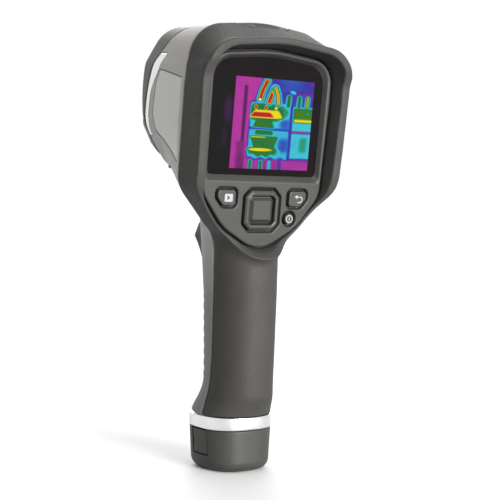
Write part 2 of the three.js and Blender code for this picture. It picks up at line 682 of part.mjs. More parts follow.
const keyCap = (corners) => {
  const crown = solidOf(loft([[KEY_FRONT_F, 0.7], [KEY_FRONT_F + 0.8, 0]].map(([f, inset]) => (
    rounded(insetCorners(corners, inset), 2).map((p) => new THREE.Vector3(p.x, f, p.y))
  ))));
  return join(
    crown,
    keyPrism(corners, 0, KEY_FRONT_F + 0.7, FLANGE_BACK_F),
    keyPrism(corners, 0.9, FLANGE_F, FLANGE_BACK_F),
  );
};

piece(head, 'key_playback', geometryOf(keyCap(LEFT_KEY)), COLOURS.key, 0.6);
piece(head, 'key_back', geometryOf(keyCap(RIGHT_KEY)), COLOURS.key, 0.6);
piece(head, 'key_power', geometryOf(keyCap(circleCorners(POWER_KEY))), COLOURS.key, 0.6);

const navRing = () => {
  const top = solidOf(loft([[KEY_FRONT_F - 0.8, 1.2], [KEY_FRONT_F + 0.5, 0]].map(([f, inset]) => (
    rounded(insetCorners(NAV_OUTER, inset), 2).map((p) => new THREE.Vector3(p.x, f, p.y))
  ))));
  const body = join(top, keyPrism(NAV_OUTER, 0, KEY_FRONT_F + 0.4, FLANGE_F - 0.9));
  return geometryOf(cut(body, keyPrism(NAV_INNER, 0, -12, 2)));
};
piece(head, 'nav_ring', navRing(), COLOURS.key, 0.6);

const navCarrier = () => {
  const plate = keyPrism(NAV_OUTER, -0.6, FLANGE_F - 0.5, FLANGE_F + 0.3);
  return geometryOf(cut(plate, keyPrism(NAV_INNER, 0, -12, 2)));
};
piece(head, 'nav_carrier', navCarrier(), COLOURS.rubber, 0.7);

const navCentre = () => {
  const crown = solidOf(loft([[KEY_FRONT_F - 0.2, 2.3], [KEY_FRONT_F + 1.1, 0]].map(([f, inset]) => (
    rounded(insetCorners(NAV_CENTRE, inset), 2).map((p) => new THREE.Vector3(p.x, f, p.y))
  ))));
  return geometryOf(join(crown, keyPrism(NAV_CENTRE, 0, KEY_FRONT_F + 1, FLANGE_BACK_F)));
};
piece(head, 'nav_centre', navCentre(), COLOURS.key, 0.6);

// ---------------------------------------------------------------------------
// Inside the head
// ---------------------------------------------------------------------------
const chassisPlate = () => {
  const plate = solidOf(box(0, 5.2, 3, 68, 1.6, 58));
  const posts = [[-30, -20], [30, -20], [-30, 26], [30, 26]].map(([x, v]) => (
    solidOf(axial(2.2, 5.5, 11.2, x, v, 12))
  ));
  const cableSlot = solidOf(box(0, 5.2, -12, 22, 6, 9));
  return geometryOf(cut(join(plate, ...posts), cableSlot));
};
piece(head, 'chassis_plate', chassisPlate(), COLOURS.steel, 0.45, 0.9);
piece(head, 'main_board', box(0, 12.3, 3, 66, 1.6, 54), COLOURS.board, 0.6);

// ---------------------------------------------------------------------------
// Connector under the top cover
// ---------------------------------------------------------------------------
const HINGE = { f: COVER_FRONT_F - 1.8, v: 49.6 };

const connectorTray = () => {
  const block = coverBlock(0, 41.5, 47);
  const well = solidOf(box(0, 11.5, 46, 26, 12, 6.4));
  const port = solidOf(box(0, 11.5, 42, 9.4, 4.4, 8));
  return geometryOf(cut(block, well, port));
};
piece(head, 'connector_tray', connectorTray(), COLOURS.black, 0.6);

const connector = () => cut(
  solidOf(box(0, 11.5, 41.4, 8.8, 3.8, 8.2)),
  solidOf(box(0, 11.5, 44, 7.4, 2.4, 6)),
);
piece(head, 'connector', geometryOf(connector()), COLOURS.steel, 0.3, 1);

const connectorCover = () => {
  const skin = toHead(headVolume(0.1)).intersect(coverBlock(0, 46.5, 60));
  const lid = skin.subtract(toHead(headVolume(2.1)).intersect(coverBlock(1, 30, 60)));
  const plug = solidOf(box(0, 11.5, 48.4, 6.6, 1.8, 6.8));
  const knuckle = solidOf(xPin(1.4, 24, HINGE.f, HINGE.v, 12));
  const pinHole = solidOf(xPin(0.9, 40, HINGE.f, HINGE.v, 12));
  return geometryOf(cut(join(lid, knuckle, plug), pinHole));
};
piece(head, 'connector_cover', connectorCover(), COLOURS.rubber, 0.85);
piece(head, 'cover_pin', xPin(0.6, 2 * COVER_HALF_WIDTH - 1, HINGE.f, HINGE.v, 10), COLOURS.steel, 0.3, 1);

// ---------------------------------------------------------------------------
// Trigger
// ---------------------------------------------------------------------------
const trigger = () => {
  const profile = rounded([
    [9.5, 104, 1], [16.5, 103, 2], [20, 108, 6], [22.5, 119, 8], [29.5, 128.6, 1.2],
    [24.5, 135.5, 3], [16.5, 140.4, 3], [9.5, 140.4, 2],
  ], 3);
  const body = solidOf(sidePrism(profile, -TRIGGER_HALF_WIDTH, TRIGGER_HALF_WIDTH));
  const relief = solidOf(sidePrism(rounded([
    [26.5, 103, 1], [40, 100, 1], [40, 126, 1], [30.4, 126.4, 1], [24.4, 118, 6], [22.2, 109, 6],
  ], 3), -20, 20));
  const bore = solidOf(xPin(1.6, 40, ...TRIGGER_PIVOT));
  return geometryOf(cut(body, relief, bore));
};
piece(camera, 'trigger', trigger(), COLOURS.rubber, 0.6);
piece(camera, 'trigger_pin', xPin(1.3, 13.4, ...TRIGGER_PIVOT), COLOURS.steel, 0.3, 1);

// ---------------------------------------------------------------------------
// Grip: bright ring, battery bay, screws
// ---------------------------------------------------------------------------
const BASE_HALF = [20.5, 22.6];
const BASE_EXPONENT = 2.6;

const baseRing = (inset, z) => (
  superellipse(BASE_HALF[0] - inset, BASE_HALF[1] - inset, 0, z, BASE_EXPONENT, 40)
);

const gripRing = () => {
  const outer = solidOf(loft([
    baseRing(0.5, RING_BOTTOM), baseRing(0.1, RING_BOTTOM + 0.4),
    baseRing(-0.1, RING_TOP - 0.4), baseRing(0.3, RING_TOP),
  ]));
  const bore = solidOf(loft([baseRing(5, RING_BOTTOM - 1), baseRing(5, RING_TOP + 1)]));
  return geometryOf(outer.subtract(bore));
};
piece(camera, 'grip_ring', gripRing(), COLOURS.steel, 0.15, 1);

const batteryTube = (grow, from, to) => solidOf(loft([from, to].map((z) => rounded([
  [-BATTERY_HALF[0] - grow, -BATTERY_HALF[1] - grow, 4], [BATTERY_HALF[0] + grow, -BATTERY_HALF[1] - grow, 4],
  [BATTERY_HALF[0] + grow, BATTERY_HALF[1] + grow, 4], [-BATTERY_HALF[0] - grow, BATTERY_HALF[1] + grow, 4],
]).map((p) => new THREE.Vector3(p.x, p.y + BATTERY_Y, z)))));
const batteryBay = () => {
  const tube = batteryTube(1.7, GRIP_BOTTOM + 1, PACK_TOP + 3.6);
  return geometryOf(tube.subtract(batteryTube(0.7, GRIP_BOTTOM - 1, PACK_TOP + 2)));
};
piece(camera, 'battery_bay', batteryBay(), COLOURS.black, 0.7);

[-1, 1].forEach((side) => {
  const name = side < 0 ? 'left' : 'right';
  piece(camera, `battery_contact_${name}`, box(side * 4, BATTERY_Y, PACK_TOP + 1.1, 3, 8, 1.2),
    COLOURS.brass, 0.3, 1);
});

SCREWS.forEach((screw) => {
  const shank = new THREE.CylinderGeometry(SCREW_RADIUS, SCREW_RADIUS, 3, 16);
  const socket = new THREE.CylinderGeometry(1.1, 1.1, 3, 6).translate(0, 1.8, 0);
  const body = solidOf(shank).subtract(solidOf(socket));
  const placed = geometryOf(body).translate(screw.x, screw.y - 1.6, screw.z);
  piece(camera, screw.name, placed, COLOURS.steel, 0.35, 1);
});

// ---------------------------------------------------------------------------
// Battery
// ---------------------------------------------------------------------------
const LATCH = { halfWidth: 7.4, bottom: 9, top: 21.6, depth: 3.4 };

const latchBlock = (side, grow, inner) => solidOf(box(
  side * (inner + 12), 0, (LATCH.bottom + LATCH.top) / 2,
  24, 2 * (LATCH.halfWidth + grow), LATCH.top - LATCH.bottom + 2 * grow,
));

const baseVolume = (inset) => solidOf(loft([
  baseRing(4 + inset, 0), baseRing(2.2 + inset, 1.2), baseRing(1.2 + inset, 3.6),
  baseRing(0.3 + inset, BASE_HEIGHT),
]));

const batteryBase = () => {
  const pockets = [-1, 1].map((side) => latchBlock(side, CLEARANCE, 14));
  const stem = batteryTube(0, BASE_HEIGHT - 1, GRIP_BOTTOM + 4);
  return geometryOf(cut(baseVolume(0), ...pockets).add(stem));
};
piece(camera, 'battery_base', batteryBase(), COLOURS.base, 0.7);
piece(camera, 'battery_pack', geometryOf(batteryTube(0, GRIP_BOTTOM + 4.3, PACK_TOP)), COLOURS.pack, 0.5);

[-1, 1].forEach((side) => {
  const name = side < 0 ? 'left' : 'right';
  const tab = latchBlock(side, 0, 16).intersect(baseVolume(0.3));
  piece(camera, `latch_${name}`, geometryOf(tab), COLOURS.base, 0.75);
});

export default camera;
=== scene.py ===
"""Looks for a handheld thermal imaging camera that stands on its battery base.

Shapes are worked out in millimetres and become metres when a mesh is made. The head leans back, so
most shapes use the head frame: x to the right, f forwards along the lens axis and v up the display,
measured from the display's centre. A shape is a signed distance field, negative inside, and
surface_net turns it into a mesh.
"""

import functools
import math

import bpy
import numpy as np
from mathutils import Matrix, Vector


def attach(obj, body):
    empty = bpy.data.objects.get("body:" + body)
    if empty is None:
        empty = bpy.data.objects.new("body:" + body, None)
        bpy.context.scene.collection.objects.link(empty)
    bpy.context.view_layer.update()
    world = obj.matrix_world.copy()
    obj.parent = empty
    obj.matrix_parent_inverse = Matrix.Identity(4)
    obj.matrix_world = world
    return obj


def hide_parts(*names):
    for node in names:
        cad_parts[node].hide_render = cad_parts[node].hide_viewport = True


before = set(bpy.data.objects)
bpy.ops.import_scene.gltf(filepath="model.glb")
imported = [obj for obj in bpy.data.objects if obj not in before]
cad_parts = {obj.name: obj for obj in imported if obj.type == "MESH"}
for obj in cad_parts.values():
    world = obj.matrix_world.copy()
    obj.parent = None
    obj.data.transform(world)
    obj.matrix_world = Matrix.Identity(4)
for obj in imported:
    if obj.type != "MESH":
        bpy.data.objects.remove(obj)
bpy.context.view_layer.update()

# ---------------------------------------------------------------------------
# Driving dimensions, in millimetres
# ---------------------------------------------------------------------------
MM = 0.001
HEAD_TILT = math.radians(7.8)
TILT_C, TILT_S = math.cos(HEAD_TILT), math.sin(HEAD_TILT)
DISPLAY_Y, DISPLAY_Z = -30.0, 188.0

RIM_F = -13.1            # rear crest of the bumper
VISOR_F = -16.5          # the crest stands out further above and beside the display's top
FASCIA_F = -6.2          # rear face of the fascia
FASCIA_BACK_F = -2.8
SEAM_F = 10.5            # split between bumper and side walls
SIDE_SQUARE_F = 43.0     # where the side walls reach their front outline
GROOVE_F, GROOVE_V, GROOVE_RADIUS, GROOVE_FOOT = 54.0, 3.0, 58.0, -36.0
COLLAR_DEPTH, COLLAR_V, COLLAR_RADIUS = 5.3, 16.0, 64.0
NOSE_FRONT_F = 100.0
LENS_V, LENS_RADIUS, CAMERA_V = 4.5, 6.8, 20.9
LENS_HOLE_RADIUS, CAMERA_HOLE_RADIUS = LENS_RADIUS + 0.7, 3.8
NOSE_FACE_F = 90.0       # the holes start behind the nose's front wall
WALL = 2.8
FILLET = 6.0             # where the head flows into the grip
SEAM_GAP = 1.1
SEAM_EDGE = 0.35         # rounding of the edges along a seam
BUMPER_EDGE = 1.5        # the bumper's own edge is softer
STEP, STEP_TOP, STEP_FOOT = 0.6, 31.0, 27.5      # the head steps out by this much below its shoulders

GRIP_BOTTOM, GRIP_TOP = 30.5, 172.0              # its top lies inside the head
RING_BOTTOM, RING_TOP = 23.2, 30.2
BASE_HEIGHT = 22.9
BASE_HALF, BASE_EXPONENT = (20.5, 22.6), 2.6
GRIP_EXPONENT = 2.3

# Head outlines, right half: x, v, corner radius.
RIM = dict(brow=(45.9, 90), shoulder=(45.6, 41, 18), temple=(46.0, 19, 40),
           cheek=(44.6, -34, 16), jaw=(25.4, -56, 40), chin=(-75.5, 20))
BUMPER = dict(brow=(53.3, 90), shoulder=(42.4, 48.4, 19.5), temple=(43.8, 16, 40),
              cheek=(43.6, -35, 16), jaw=(24.4, -57, 40), chin=(-76, 20))
SIDE_REAR = dict(brow=(52.7, 90), shoulder=(41.6, 47.9, 19.5), temple=(43.1, 16, 40),
                 cheek=(42.9, -34.5, 16), jaw=(23.8, -56.4, 40), chin=(-75.2, 20))
SIDE_FRONT = dict(brow=(50.4, 90), shoulder=(34, 47, 14), temple=(41.2, 28, 26),
                  cheek=(41.4, -5.4, 24), jaw=(30.4, -27.5, 12), chin=(-39, 30))
NOSE_REAR = dict(brow=(36, 80), shoulder=(26, 33.4, 9), temple=(29.5, 20, 12),
                 cheek=(29, -6, 8), jaw=(17, -20.5, 12), chin=(-25, 28))
NOSE_MID = dict(brow=(33, 80), shoulder=(22.5, 30.8, 8), temple=(25.2, 18, 12),
                cheek=(25, -8, 8), jaw=(15, -24.5, 10), chin=(-29, 25))
NOSE_FRONT = dict(brow=(27, 60), shoulder=(16.4, 25.2, 7), temple=(18.2, 14, 12),
                  cheek=(18, -8, 7), jaw=(10.5, -21, 8), chin=(-24.5, 20))
PANEL = dict(brow=(38.8, 90), shoulder=(38.5, 34.6, 13), temple=(38.9, 14, 60),
             cheek=(37.2, -37.5, 14), jaw=(23.5, -54.8, 30), chin=(-69, 20))

# Rear face of the bumper in side view, as (v, f): proud round the display, low round the keypad.
REAR_FACE = ((60, VISOR_F), (31.5, VISOR_F), (23, RIM_F), (-10, RIM_F), (-26, -12.8), (-33, -11.2),
             (-38, -9.0), (-44.5, -5.9), (-50, -5.0), (-57, -5.0), (-61.5, -6.0), (-65, -8.4),
             (-68, -11.6), (-70.2, -15), (-78.5, -26))

# Split between the rear and front halves in side view, as (z, y).
SPLIT = ((20, -2.4), (33, -3.0), (44, -5.0), (62, -7.6), (98, -9.8), (124, -11.2), (142, -13.8),
         (160, -15.6), (189, -19.8), (232, -25.6), (262, -30))

# Grip sections: height, centre depth, half width, half depth.
GRIP_SECTIONS = (
    (GRIP_BOTTOM, -0.4, 20.6, 22.6), (35, -2.2, 19.4, 23.0), (40, -5.8, 18.0, 22.8),
    (47, -7.9, 16.9, 21.3), (62, -8.5, 17.0, 21.8), (98, -9.3, 17.5, 22.9),
    (118, -8.7, 18.2, 23.7), (134, -8.0, 18.6, 24.4), (152, -5.0, 19.0, 23.6),
)


# ---------------------------------------------------------------------------
# Signed distance fields
# ---------------------------------------------------------------------------
CORNER_STEPS, SOFT_STEPS = 14, 4                 # sides of a rounded corner
CURVE_STEP = 0.5


def rounded(corners):
    """A rounded convex polygon from (x, y, radius) corners in counter-clockwise order."""
    points = []
    for i, (x, y, radius) in enumerate(corners):
        corner = np.array((x, y), float)
        inward = np.array(corners[i - 1][:2], float) - corner
        outward = np.array(corners[(i + 1) % len(corners)][:2], float) - corner
        inward /= np.linalg.norm(inward)
        outward /= np.linalg.norm(outward)
        half = math.acos(np.clip(inward @ outward, -1, 1)) / 2
        middle = inward + outward
        centre = corner + middle / np.linalg.norm(middle) * radius / math.sin(half)
        start = corner + inward * radius / math.tan(half) - centre
        sweep = math.pi - 2 * half
        for step in range(CORNER_STEPS + 1):
            turn = sweep * step / CORNER_STEPS
            points.append(centre + (start[0] * math.cos(turn) - start[1] * math.sin(turn),
                                    start[0] * math.sin(turn) + start[1] * math.cos(turn)))
    return np.array(points)


def head_corners(outline):
    """The ten corners of a head outline, counter-clockwise from the brow."""
    right = [outline[name] for name in ("jaw", "cheek", "temple", "shoulder")]
    left = [(-x, v, r) for x, v, r in reversed(right)]
    return [(0, *outline["brow"]), *left, (0, *outline["chin"]), *right]


def polygon_field(points, a, b):
    """Distance to a convex counter-clockwise polygon, on the grid of a and b values."""
    after = np.roll(points, -1, axis=0)
    along = after - points
    length = np.linalg.norm(along, axis=1)
    keep = length > 1e-6
    normal = np.stack((along[:, 1], -along[:, 0]), axis=1)[keep] / length[keep, None]
    offset = np.sum(normal * points[keep], axis=1)
    field = np.full(np.broadcast_shapes(a.shape, b.shape), -1e3, np.float32)
    for (na, nb), d in zip(normal, offset):
        np.maximum(field, np.float32(na) * a + np.float32(nb) * b - np.float32(d), out=field)
    return field


def meet(a, b, radius=0.0):
    """Both of two bodies, with an edge of that radius between them."""
    if radius == 0:
        return np.maximum(a, b)
    corner = np.sqrt(np.maximum(a + radius, 0) ** 2 + np.maximum(b + radius, 0) ** 2)
    return np.minimum(np.maximum(a, b), -radius) + corner


def overlap(*fields):
    """What all of the bodies share, with sharp edges."""
    return functools.reduce(np.maximum, fields)


def slab(at, low, high):
    """Between two values of a coordinate."""
    return np.maximum(low - at, at - high)


def join(a, b, radius=0.0):
    """Either of two bodies, with a fillet of that radius between them."""
    return -meet(-a, -b, radius)


def cut(a, b, radius=0.0):
    """The first body without the second, with an edge of that radius."""
    return meet(a, -b, radius)


def smooth_curve(points, sigma):
    """A function through (t, value) points with its corners softened over sigma."""
    t, values = np.array(sorted(points), float).T
    fine = np.arange(t[0] - 4 * sigma, t[-1] + 4 * sigma, CURVE_STEP)
    ends = [values[0] + (values[1] - values[0]) / (t[1] - t[0]) * (fine[0] - t[0]),
            values[-1] + (values[-1] - values[-2]) / (t[-1] - t[-2]) * (fine[-1] - t[-1])]
    raw = np.interp(fine, [fine[0], *t, fine[-1]], [ends[0], *values, ends[1]])
    reach = int(4 * sigma / CURVE_STEP)
    kernel = np.exp(-0.5 * (np.arange(-reach, reach + 1) * CURVE_STEP / sigma) ** 2)
    kernel /= kernel.sum()
    soft = np.convolve(np.pad(raw, reach, mode="reflect", reflect_type="odd"), kernel, mode="valid")
    return lambda at: np.interp(at, fine, soft).astype(np.float32)


rear_face_curve = smooth_curve(REAR_FACE, 1.2)
split_curve = smooth_curve(SPLIT, 4)
grip_curves = [smooth_curve([(s[0], s[k]) for s in GRIP_SECTIONS], 2.2) for k in (1, 2, 3)]


class Grid:
    """Sample points in the head frame, or in the row frame when world is set; only x > 0 if mirrored."""

    def __init__(self, x, f, v, step, mirrored=True, world=False):
        self.step, self.mirrored, self.world = step, mirrored, world
        first = step / 2 if mirrored else x[0]
        self.x = self._axis(first, x[1])[:, None, None]
        self.f = self._axis(*f)[None, :, None]
        self.v = self._axis(*v)[None, None, :]
        self.ax = np.abs(self.x)
        if world:
            self.y, self.z = self.f, self.v
        else:
            self.y = DISPLAY_Y + TILT_C * self.f - TILT_S * self.v
            self.z = DISPLAY_Z + TILT_S * self.f + TILT_C * self.v

    def _axis(self, low, high):
        return (low + self.step * np.arange(int((high - low) / self.step) + 1)).astype(np.float32)

    def outline(self, outline, step=0.0):
        """Distance to a head outline, the same at every f, with that step in its sides."""
        outset = step * np.clip((STEP_TOP - self.v) / (STEP_TOP - STEP_FOOT), 0, 1)
        return polygon_field(rounded(head_corners(outline)), self.ax - outset, self.v)

    def loft(self, *stations, step=0.0):
        """A body through head outlines at (f, outline, inset) stations."""
        places = np.array([s[0] for s in stations], np.float32)
        tables = [self.outline(outline, step) + np.float32(sum(inset)) for _, outline, *inset in stations]
        field = np.empty((self.x.shape[0], self.f.shape[1], self.v.shape[2]), np.float32)
        for j, f in enumerate(self.f[0, :, 0]):
            k = int(np.clip(np.searchsorted(places, f) - 1, 0, len(places) - 2))
            t = np.clip((f - places[k]) / (places[k + 1] - places[k]), 0, 1)
            field[:, j, :] = ((1 - t) * tables[k] + t * tables[k + 1])[:, 0, :]
        return field

    def front(self, corners):
        """Distance to a rounded polygon of (x, v, radius) corners, the same at every f."""
        return polygon_field(rounded(corners), self.x, self.v)

    def profile(self, corners):
        """Distance to a rounded polygon in side view, of (f, v, radius) or (y, z, radius) corners."""
        return polygon_field(rounded(corners), self.f, self.v)

    def mesh(self, field):
        """Vertices in millimetres in the row frame, and quads."""
        x0 = float(self.x[0, 0, 0])
        if self.mirrored:
            field = np.concatenate((field[::-1], field), axis=0)
            x0 = -float(self.x[-1, 0, 0])
        points, quads = surface_net(field, (x0, float(self.f[0, 0, 0]), float(self.v[0, 0, 0])), self.step)
        return (points if self.world else to_row(points)), quads


def smooth_step(start, end, at):
    t = np.clip((at - start) / (end - start), 0, 1)
    return t * t * (3 - 2 * t)


def to_row(points):
    """Head frame points in the row frame, both in millimetres."""
    x, f, v = points.T
    return np.stack((x, DISPLAY_Y + TILT_C * f - TILT_S * v, DISPLAY_Z + TILT_S * f + TILT_C * v), axis=1)


CORNERS = [(a, b, c) for a in (0, 1) for b in (0, 1) for c in (0, 1)]
EDGES = [(p, q) for p in CORNERS for q in CORNERS
         if p < q and sum(abs(i - j) for i, j in zip(p, q)) == 1]


def surface_net(field, origin, step):
    """The zero surface of a sampled field as quads, one vertex in each cell that it crosses."""
    inside = field < 0
    cells = tuple(n - 1 for n in field.shape)
    count = np.zeros(cells, np.uint8)
    for a, b, c in CORNERS:
        count += inside[a:a + cells[0], b:b + cells[1], c:c + cells[2]]
    crossed = np.flatnonzero((count > 0) & (count < 8))
    place = np.stack(np.unravel_index(crossed, cells), axis=1)
    value = {c: field[place[:, 0] + c[0], place[:, 1] + c[1], place[:, 2] + c[2]] for c in CORNERS}
    total = np.zeros((len(crossed), 3), np.float32)
    hits = np.zeros(len(crossed), np.float32)
    for p, q in EDGES:
        split = (value[p] < 0) != (value[q] < 0)
        part = value[p][split] / (value[p][split] - value[q][split])
        total[split] += np.array(p, np.float32) + part[:, None] * (np.array(q, np.float32) - p)
        hits[split] += 1
    points = np.array(origin) + step * (place + total / hits[:, None])
    lookup = np.full(int(np.prod(cells)), -1, np.int32)
    lookup[crossed] = np.arange(len(crossed), dtype=np.int32)
    quads = []
    for axis in range(3):
        low = [slice(1, -1)] * 3
        high = [slice(1, -1)] * 3
        low[axis], high[axis] = slice(0, -1), slice(1, None)
        leaving = inside[tuple(low)] != inside[tuple(high)]
        node = np.stack(np.nonzero(leaving), axis=1)
        outward = inside[tuple(low)][leaving]
        first, second = [k for k in range(3) if k != axis]
        base = node + 1
        base[:, axis] -= 1
        ring = []
        for da, db in ((-1, -1), (0, -1), (0, 0), (-1, 0)):
            cell = base.copy()
            cell[:, first] += da
            cell[:, second] += db
            ring.append(lookup[np.ravel_multi_index(cell.T, cells)])
        quad = np.stack(ring, axis=1)
        turned = outward if axis != 1 else ~outward
        quad[~turned] = quad[~turned][:, ::-1]
        quads.append(quad)
    return points, np.concatenate(quads)


# ---------------------------------------------------------------------------
# Meshes and pieces
# ---------------------------------------------------------------------------
def mesh_object(name, points, quads):
    """A Blender object from points in row-frame millimetres and an array of quads."""
    mesh = bpy.data.meshes.new(name)
    mesh.vertices.add(len(points))
    mesh.vertices.foreach_set("co", (np.asarray(points) * MM).astype(np.float32).ravel())
    mesh.loops.add(quads.size)
    mesh.loops.foreach_set("vertex_index", quads.astype(np.int32).ravel())
    mesh.polygons.add(len(quads))
    mesh.polygons.foreach_set("loop_start", np.arange(0, quads.size, 4, dtype=np.int32))
    mesh.update(calc_edges=True)
    mesh.validate()
    mesh.polygons.foreach_set("use_smooth", [True] * len(mesh.polygons))
    obj = bpy.data.objects.new(name, mesh)
    bpy.context.scene.collection.objects.link(obj)
    return obj


def thinned(obj, ratio):
    """The object with its mesh brought down to that share of its faces."""
    obj.modifiers.new("thin", "DECIMATE").ratio = ratio
    made = bpy.data.meshes.new_from_object(obj.evaluated_get(bpy.context.evaluated_depsgraph_get()))
    obj.modifiers.clear()
    old, obj.data = obj.data, made
    bpy.data.meshes.remove(old)
    return obj


def piece(obj, body, slot, *nodes, look=None):
    """Finishes a piece: its material (the look, else the slot's), the body it rides on, and hides the CAD
    nodes that it stands for.
    """
    obj.data.materials.clear()
    obj.data.materials.append(M[look or slot])
    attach(obj, body)
    if nodes:
        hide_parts(*nodes)
    return obj


def sculpted(name, grid, field, keep, side=1):
    """The surface of a field, thinned to that share of its faces and mirrored when side is -1."""
    points, quads = grid.mesh(field)
    if side < 0:
        points[:, 0] *= -1
        quads = quads[:, ::-1]
    return thinned(mesh_object(name, points, quads), keep)


def tube_quads(rings, sides, closed):
    """Quads between rings of points, from the last ring to the first as well when closed."""
    ring, side = np.meshgrid(np.arange(rings if closed else rings - 1), np.arange(sides), indexing="ij")
    ring, side = ring.ravel(), side.ravel()
    after, beside = (ring + 1) % rings, (side + 1) % sides
    return np.stack((ring * sides + side, ring * sides + beside,
                     after * sides + beside, after * sides + side), axis=1)


LATHE_SIDES, HOOP_SIDES = 96, 224


def lathe(name, profile, v):
    """A turned piece about the lens axis through height v; profile is (radius, f) pairs."""
    angles = np.linspace(0, 2 * math.pi, LATHE_SIDES, endpoint=False)
    points = []
    for radius, f in profile:
        ring = (radius * np.cos(angles), np.full(LATHE_SIDES, f), v + radius * np.sin(angles))
        points.append(np.stack(ring, axis=1))
    return mesh_object(name, to_row(np.concatenate(points)), tube_quads(len(profile), LATHE_SIDES, False))


def softened(profile, radius):
    """A profile of (radius, f) pairs with its inner corners rounded."""
    out = [profile[0]]
    for before, at, after in zip(profile, profile[1:], profile[2:]):
        before, at, after = (np.array(p, float) for p in (before, at, after))
        back, ahead = before - at, after - at
        reach = min(radius, np.linalg.norm(back) * 0.45, np.linalg.norm(ahead) * 0.45)
        start = at + back / np.linalg.norm(back) * reach
        end = at + ahead / np.linalg.norm(ahead) * reach
        for step in range(SOFT_STEPS + 1):
            t = step / SOFT_STEPS
            out.append(tuple((1 - t) ** 2 * start + 2 * t * (1 - t) * at + t * t * end))
    return out + [profile[-1]]


# ---------------------------------------------------------------------------
# Materials
# ---------------------------------------------------------------------------
class Nodes:
    """A short way to write a node material."""

    def __init__(self, name):
        self.material = bpy.data.materials.new(name)
        self.material.use_nodes = True
        self.tree = self.material.node_tree
        self.shader = self.tree.nodes["Principled BSDF"]
        self.place = self.add("ShaderNodeTexCoord").outputs["Object"]

    def add(self, kind, **settings):
        node = self.tree.nodes.new(kind)
        for key, value in settings.items():
            setattr(node, key, value)
        return node

    def link(self, source, target):
        self.tree.links.new(source, target)

    def feed(self, **values):
        """Sets inputs of the shader, by names with _ for spaces, to sockets or to plain values."""
        for name, value in values.items():
            target = self.shader.inputs[name.replace("_", " ")]
            if isinstance(value, bpy.types.NodeSocket):
                self.link(value, target)
            else:
                target.default_value = value

    def noise(self, size_mm, detail, rough=0.5, stretch=None):
        """Noise with features of about that size."""
        node = self.add("ShaderNodeTexNoise")
        node.inputs["Scale"].default_value = 1000.0 / size_mm
        node.inputs["Detail"].default_value = detail
        node.inputs["Roughness"].default_value = rough
        source = self.place
        if stretch:
            mapping = self.add("ShaderNodeMapping")
            mapping.inputs["Scale"].default_value = stretch
            self.link(source, mapping.inputs["Vector"])
            source = mapping.outputs["Vector"]
        self.link(source, node.inputs["Vector"])
        return node.outputs["Fac"]

    def mottled(self, source, colour, low, high):
        """The colour, from low to high times as bright over the source's middle range."""
        return self.ramp(source, (0.3, shade(colour, low)), (0.7, shade(colour, high)))

    def ramp(self, source, *stops):
        node = self.add("ShaderNodeValToRGB")
        elements = node.color_ramp.elements
        elements.remove(elements[1])
        elements[0].position = stops[0][0]
        elements[0].color = (*stops[0][1], 1)
        for at, colour in stops[1:]:
            elements.new(at).color = (*colour, 1)
        self.link(source, node.inputs["Fac"])
        return node.outputs["Color"]

    def span(self, source, low, high):
        """The source's middle range mapped to low..high."""
        node = self.add("ShaderNodeMapRange")
        for name, value in (("From Min", 0.3), ("From Max", 0.7), ("To Min", low), ("To Max", high)):
            node.inputs[name].default_value = value
        self.link(source, node.inputs["Value"])
        return node.outputs["Result"]

    def bump(self, source, depth_mm, under=None):
        node = self.add("ShaderNodeBump")
        node.inputs["Distance"].default_value = depth_mm * MM
        self.link(source, node.inputs["Height"])
        if under is not None:
            self.link(under, node.inputs["Normal"])
        return node.outputs["Normal"]


def shade(colour, factor):
    return tuple(min(c * factor, 1.0) for c in colour)


def moulded(name, colour, roughness, grain_mm, depth_mm, variation, specular):
    """Moulded plastic or rubber: a fine grain, faint mottling and slightly uneven gloss."""
    n = Nodes(name)
    grain = n.noise(grain_mm, 3.0, 0.6)
    coarse = n.bump(n.noise(grain_mm * 2.6, 2.0), depth_mm * 1.6)
    n.feed(Base_Color=n.mottled(n.noise(9.0, 4.0, 0.55), colour, 1 - variation, 1 + variation),
           Roughness=n.span(n.noise(grain_mm * 3, 3.0), roughness - 0.06, roughness + 0.06),
           Normal=n.bump(grain, depth_mm, under=coarse), Specular_IOR_Level=specular)
    return n.material


def metal(name, colour, roughness, brushed=False):
    n = Nodes(name)
    grain = n.noise(0.5, 4.0, 0.6, (1, 1, 30) if brushed else None)
    n.feed(Base_Color=n.mottled(n.noise(14, 3), colour, 0.93, 1.05),
           Roughness=n.span(grain, roughness * 0.8, roughness * 1.25),
           Normal=n.bump(grain, 0.006 if brushed else 0.002), Metallic=1.0)
    return n.material


def coated(name, colour, coat, specular):
    """Glass or gloss plastic, with the faintest unevenness in its gloss."""
    n = Nodes(name)
    n.feed(Base_Color=n.mottled(n.noise(16, 2), colour, 0.9, 1.1),
           Roughness=n.span(n.noise(12, 3), 0.05, 0.05 + 0.02), Normal=n.bump(n.noise(20, 1), 0.004),
           Specular_IOR_Level=specular, Coat_Weight=coat, Coat_Roughness=0.03)
    return n.material


def circuit(name):
    """Green solder mask over paler copper tracks."""
    n = Nodes(name)
    brick = n.add("ShaderNodeTexBrick")
    brick.inputs["Scale"].default_value = 420
    brick.inputs["Mortar Size"].default_value = 0.03
    brick.inputs["Color1"].default_value = (0.012, 0.11, 0.04, 1)
    brick.inputs["Color2"].default_value = (0.02, 0.15, 0.055, 1)
    brick.inputs["Mortar"].default_value = (0.05, 0.26, 0.1, 1)
    n.link(n.place, brick.inputs["Vector"])
    n.feed(Base_Color=brick.outputs["Color"], Roughness=n.span(n.noise(2, 2), 0.3, 0.45))
    return n.material


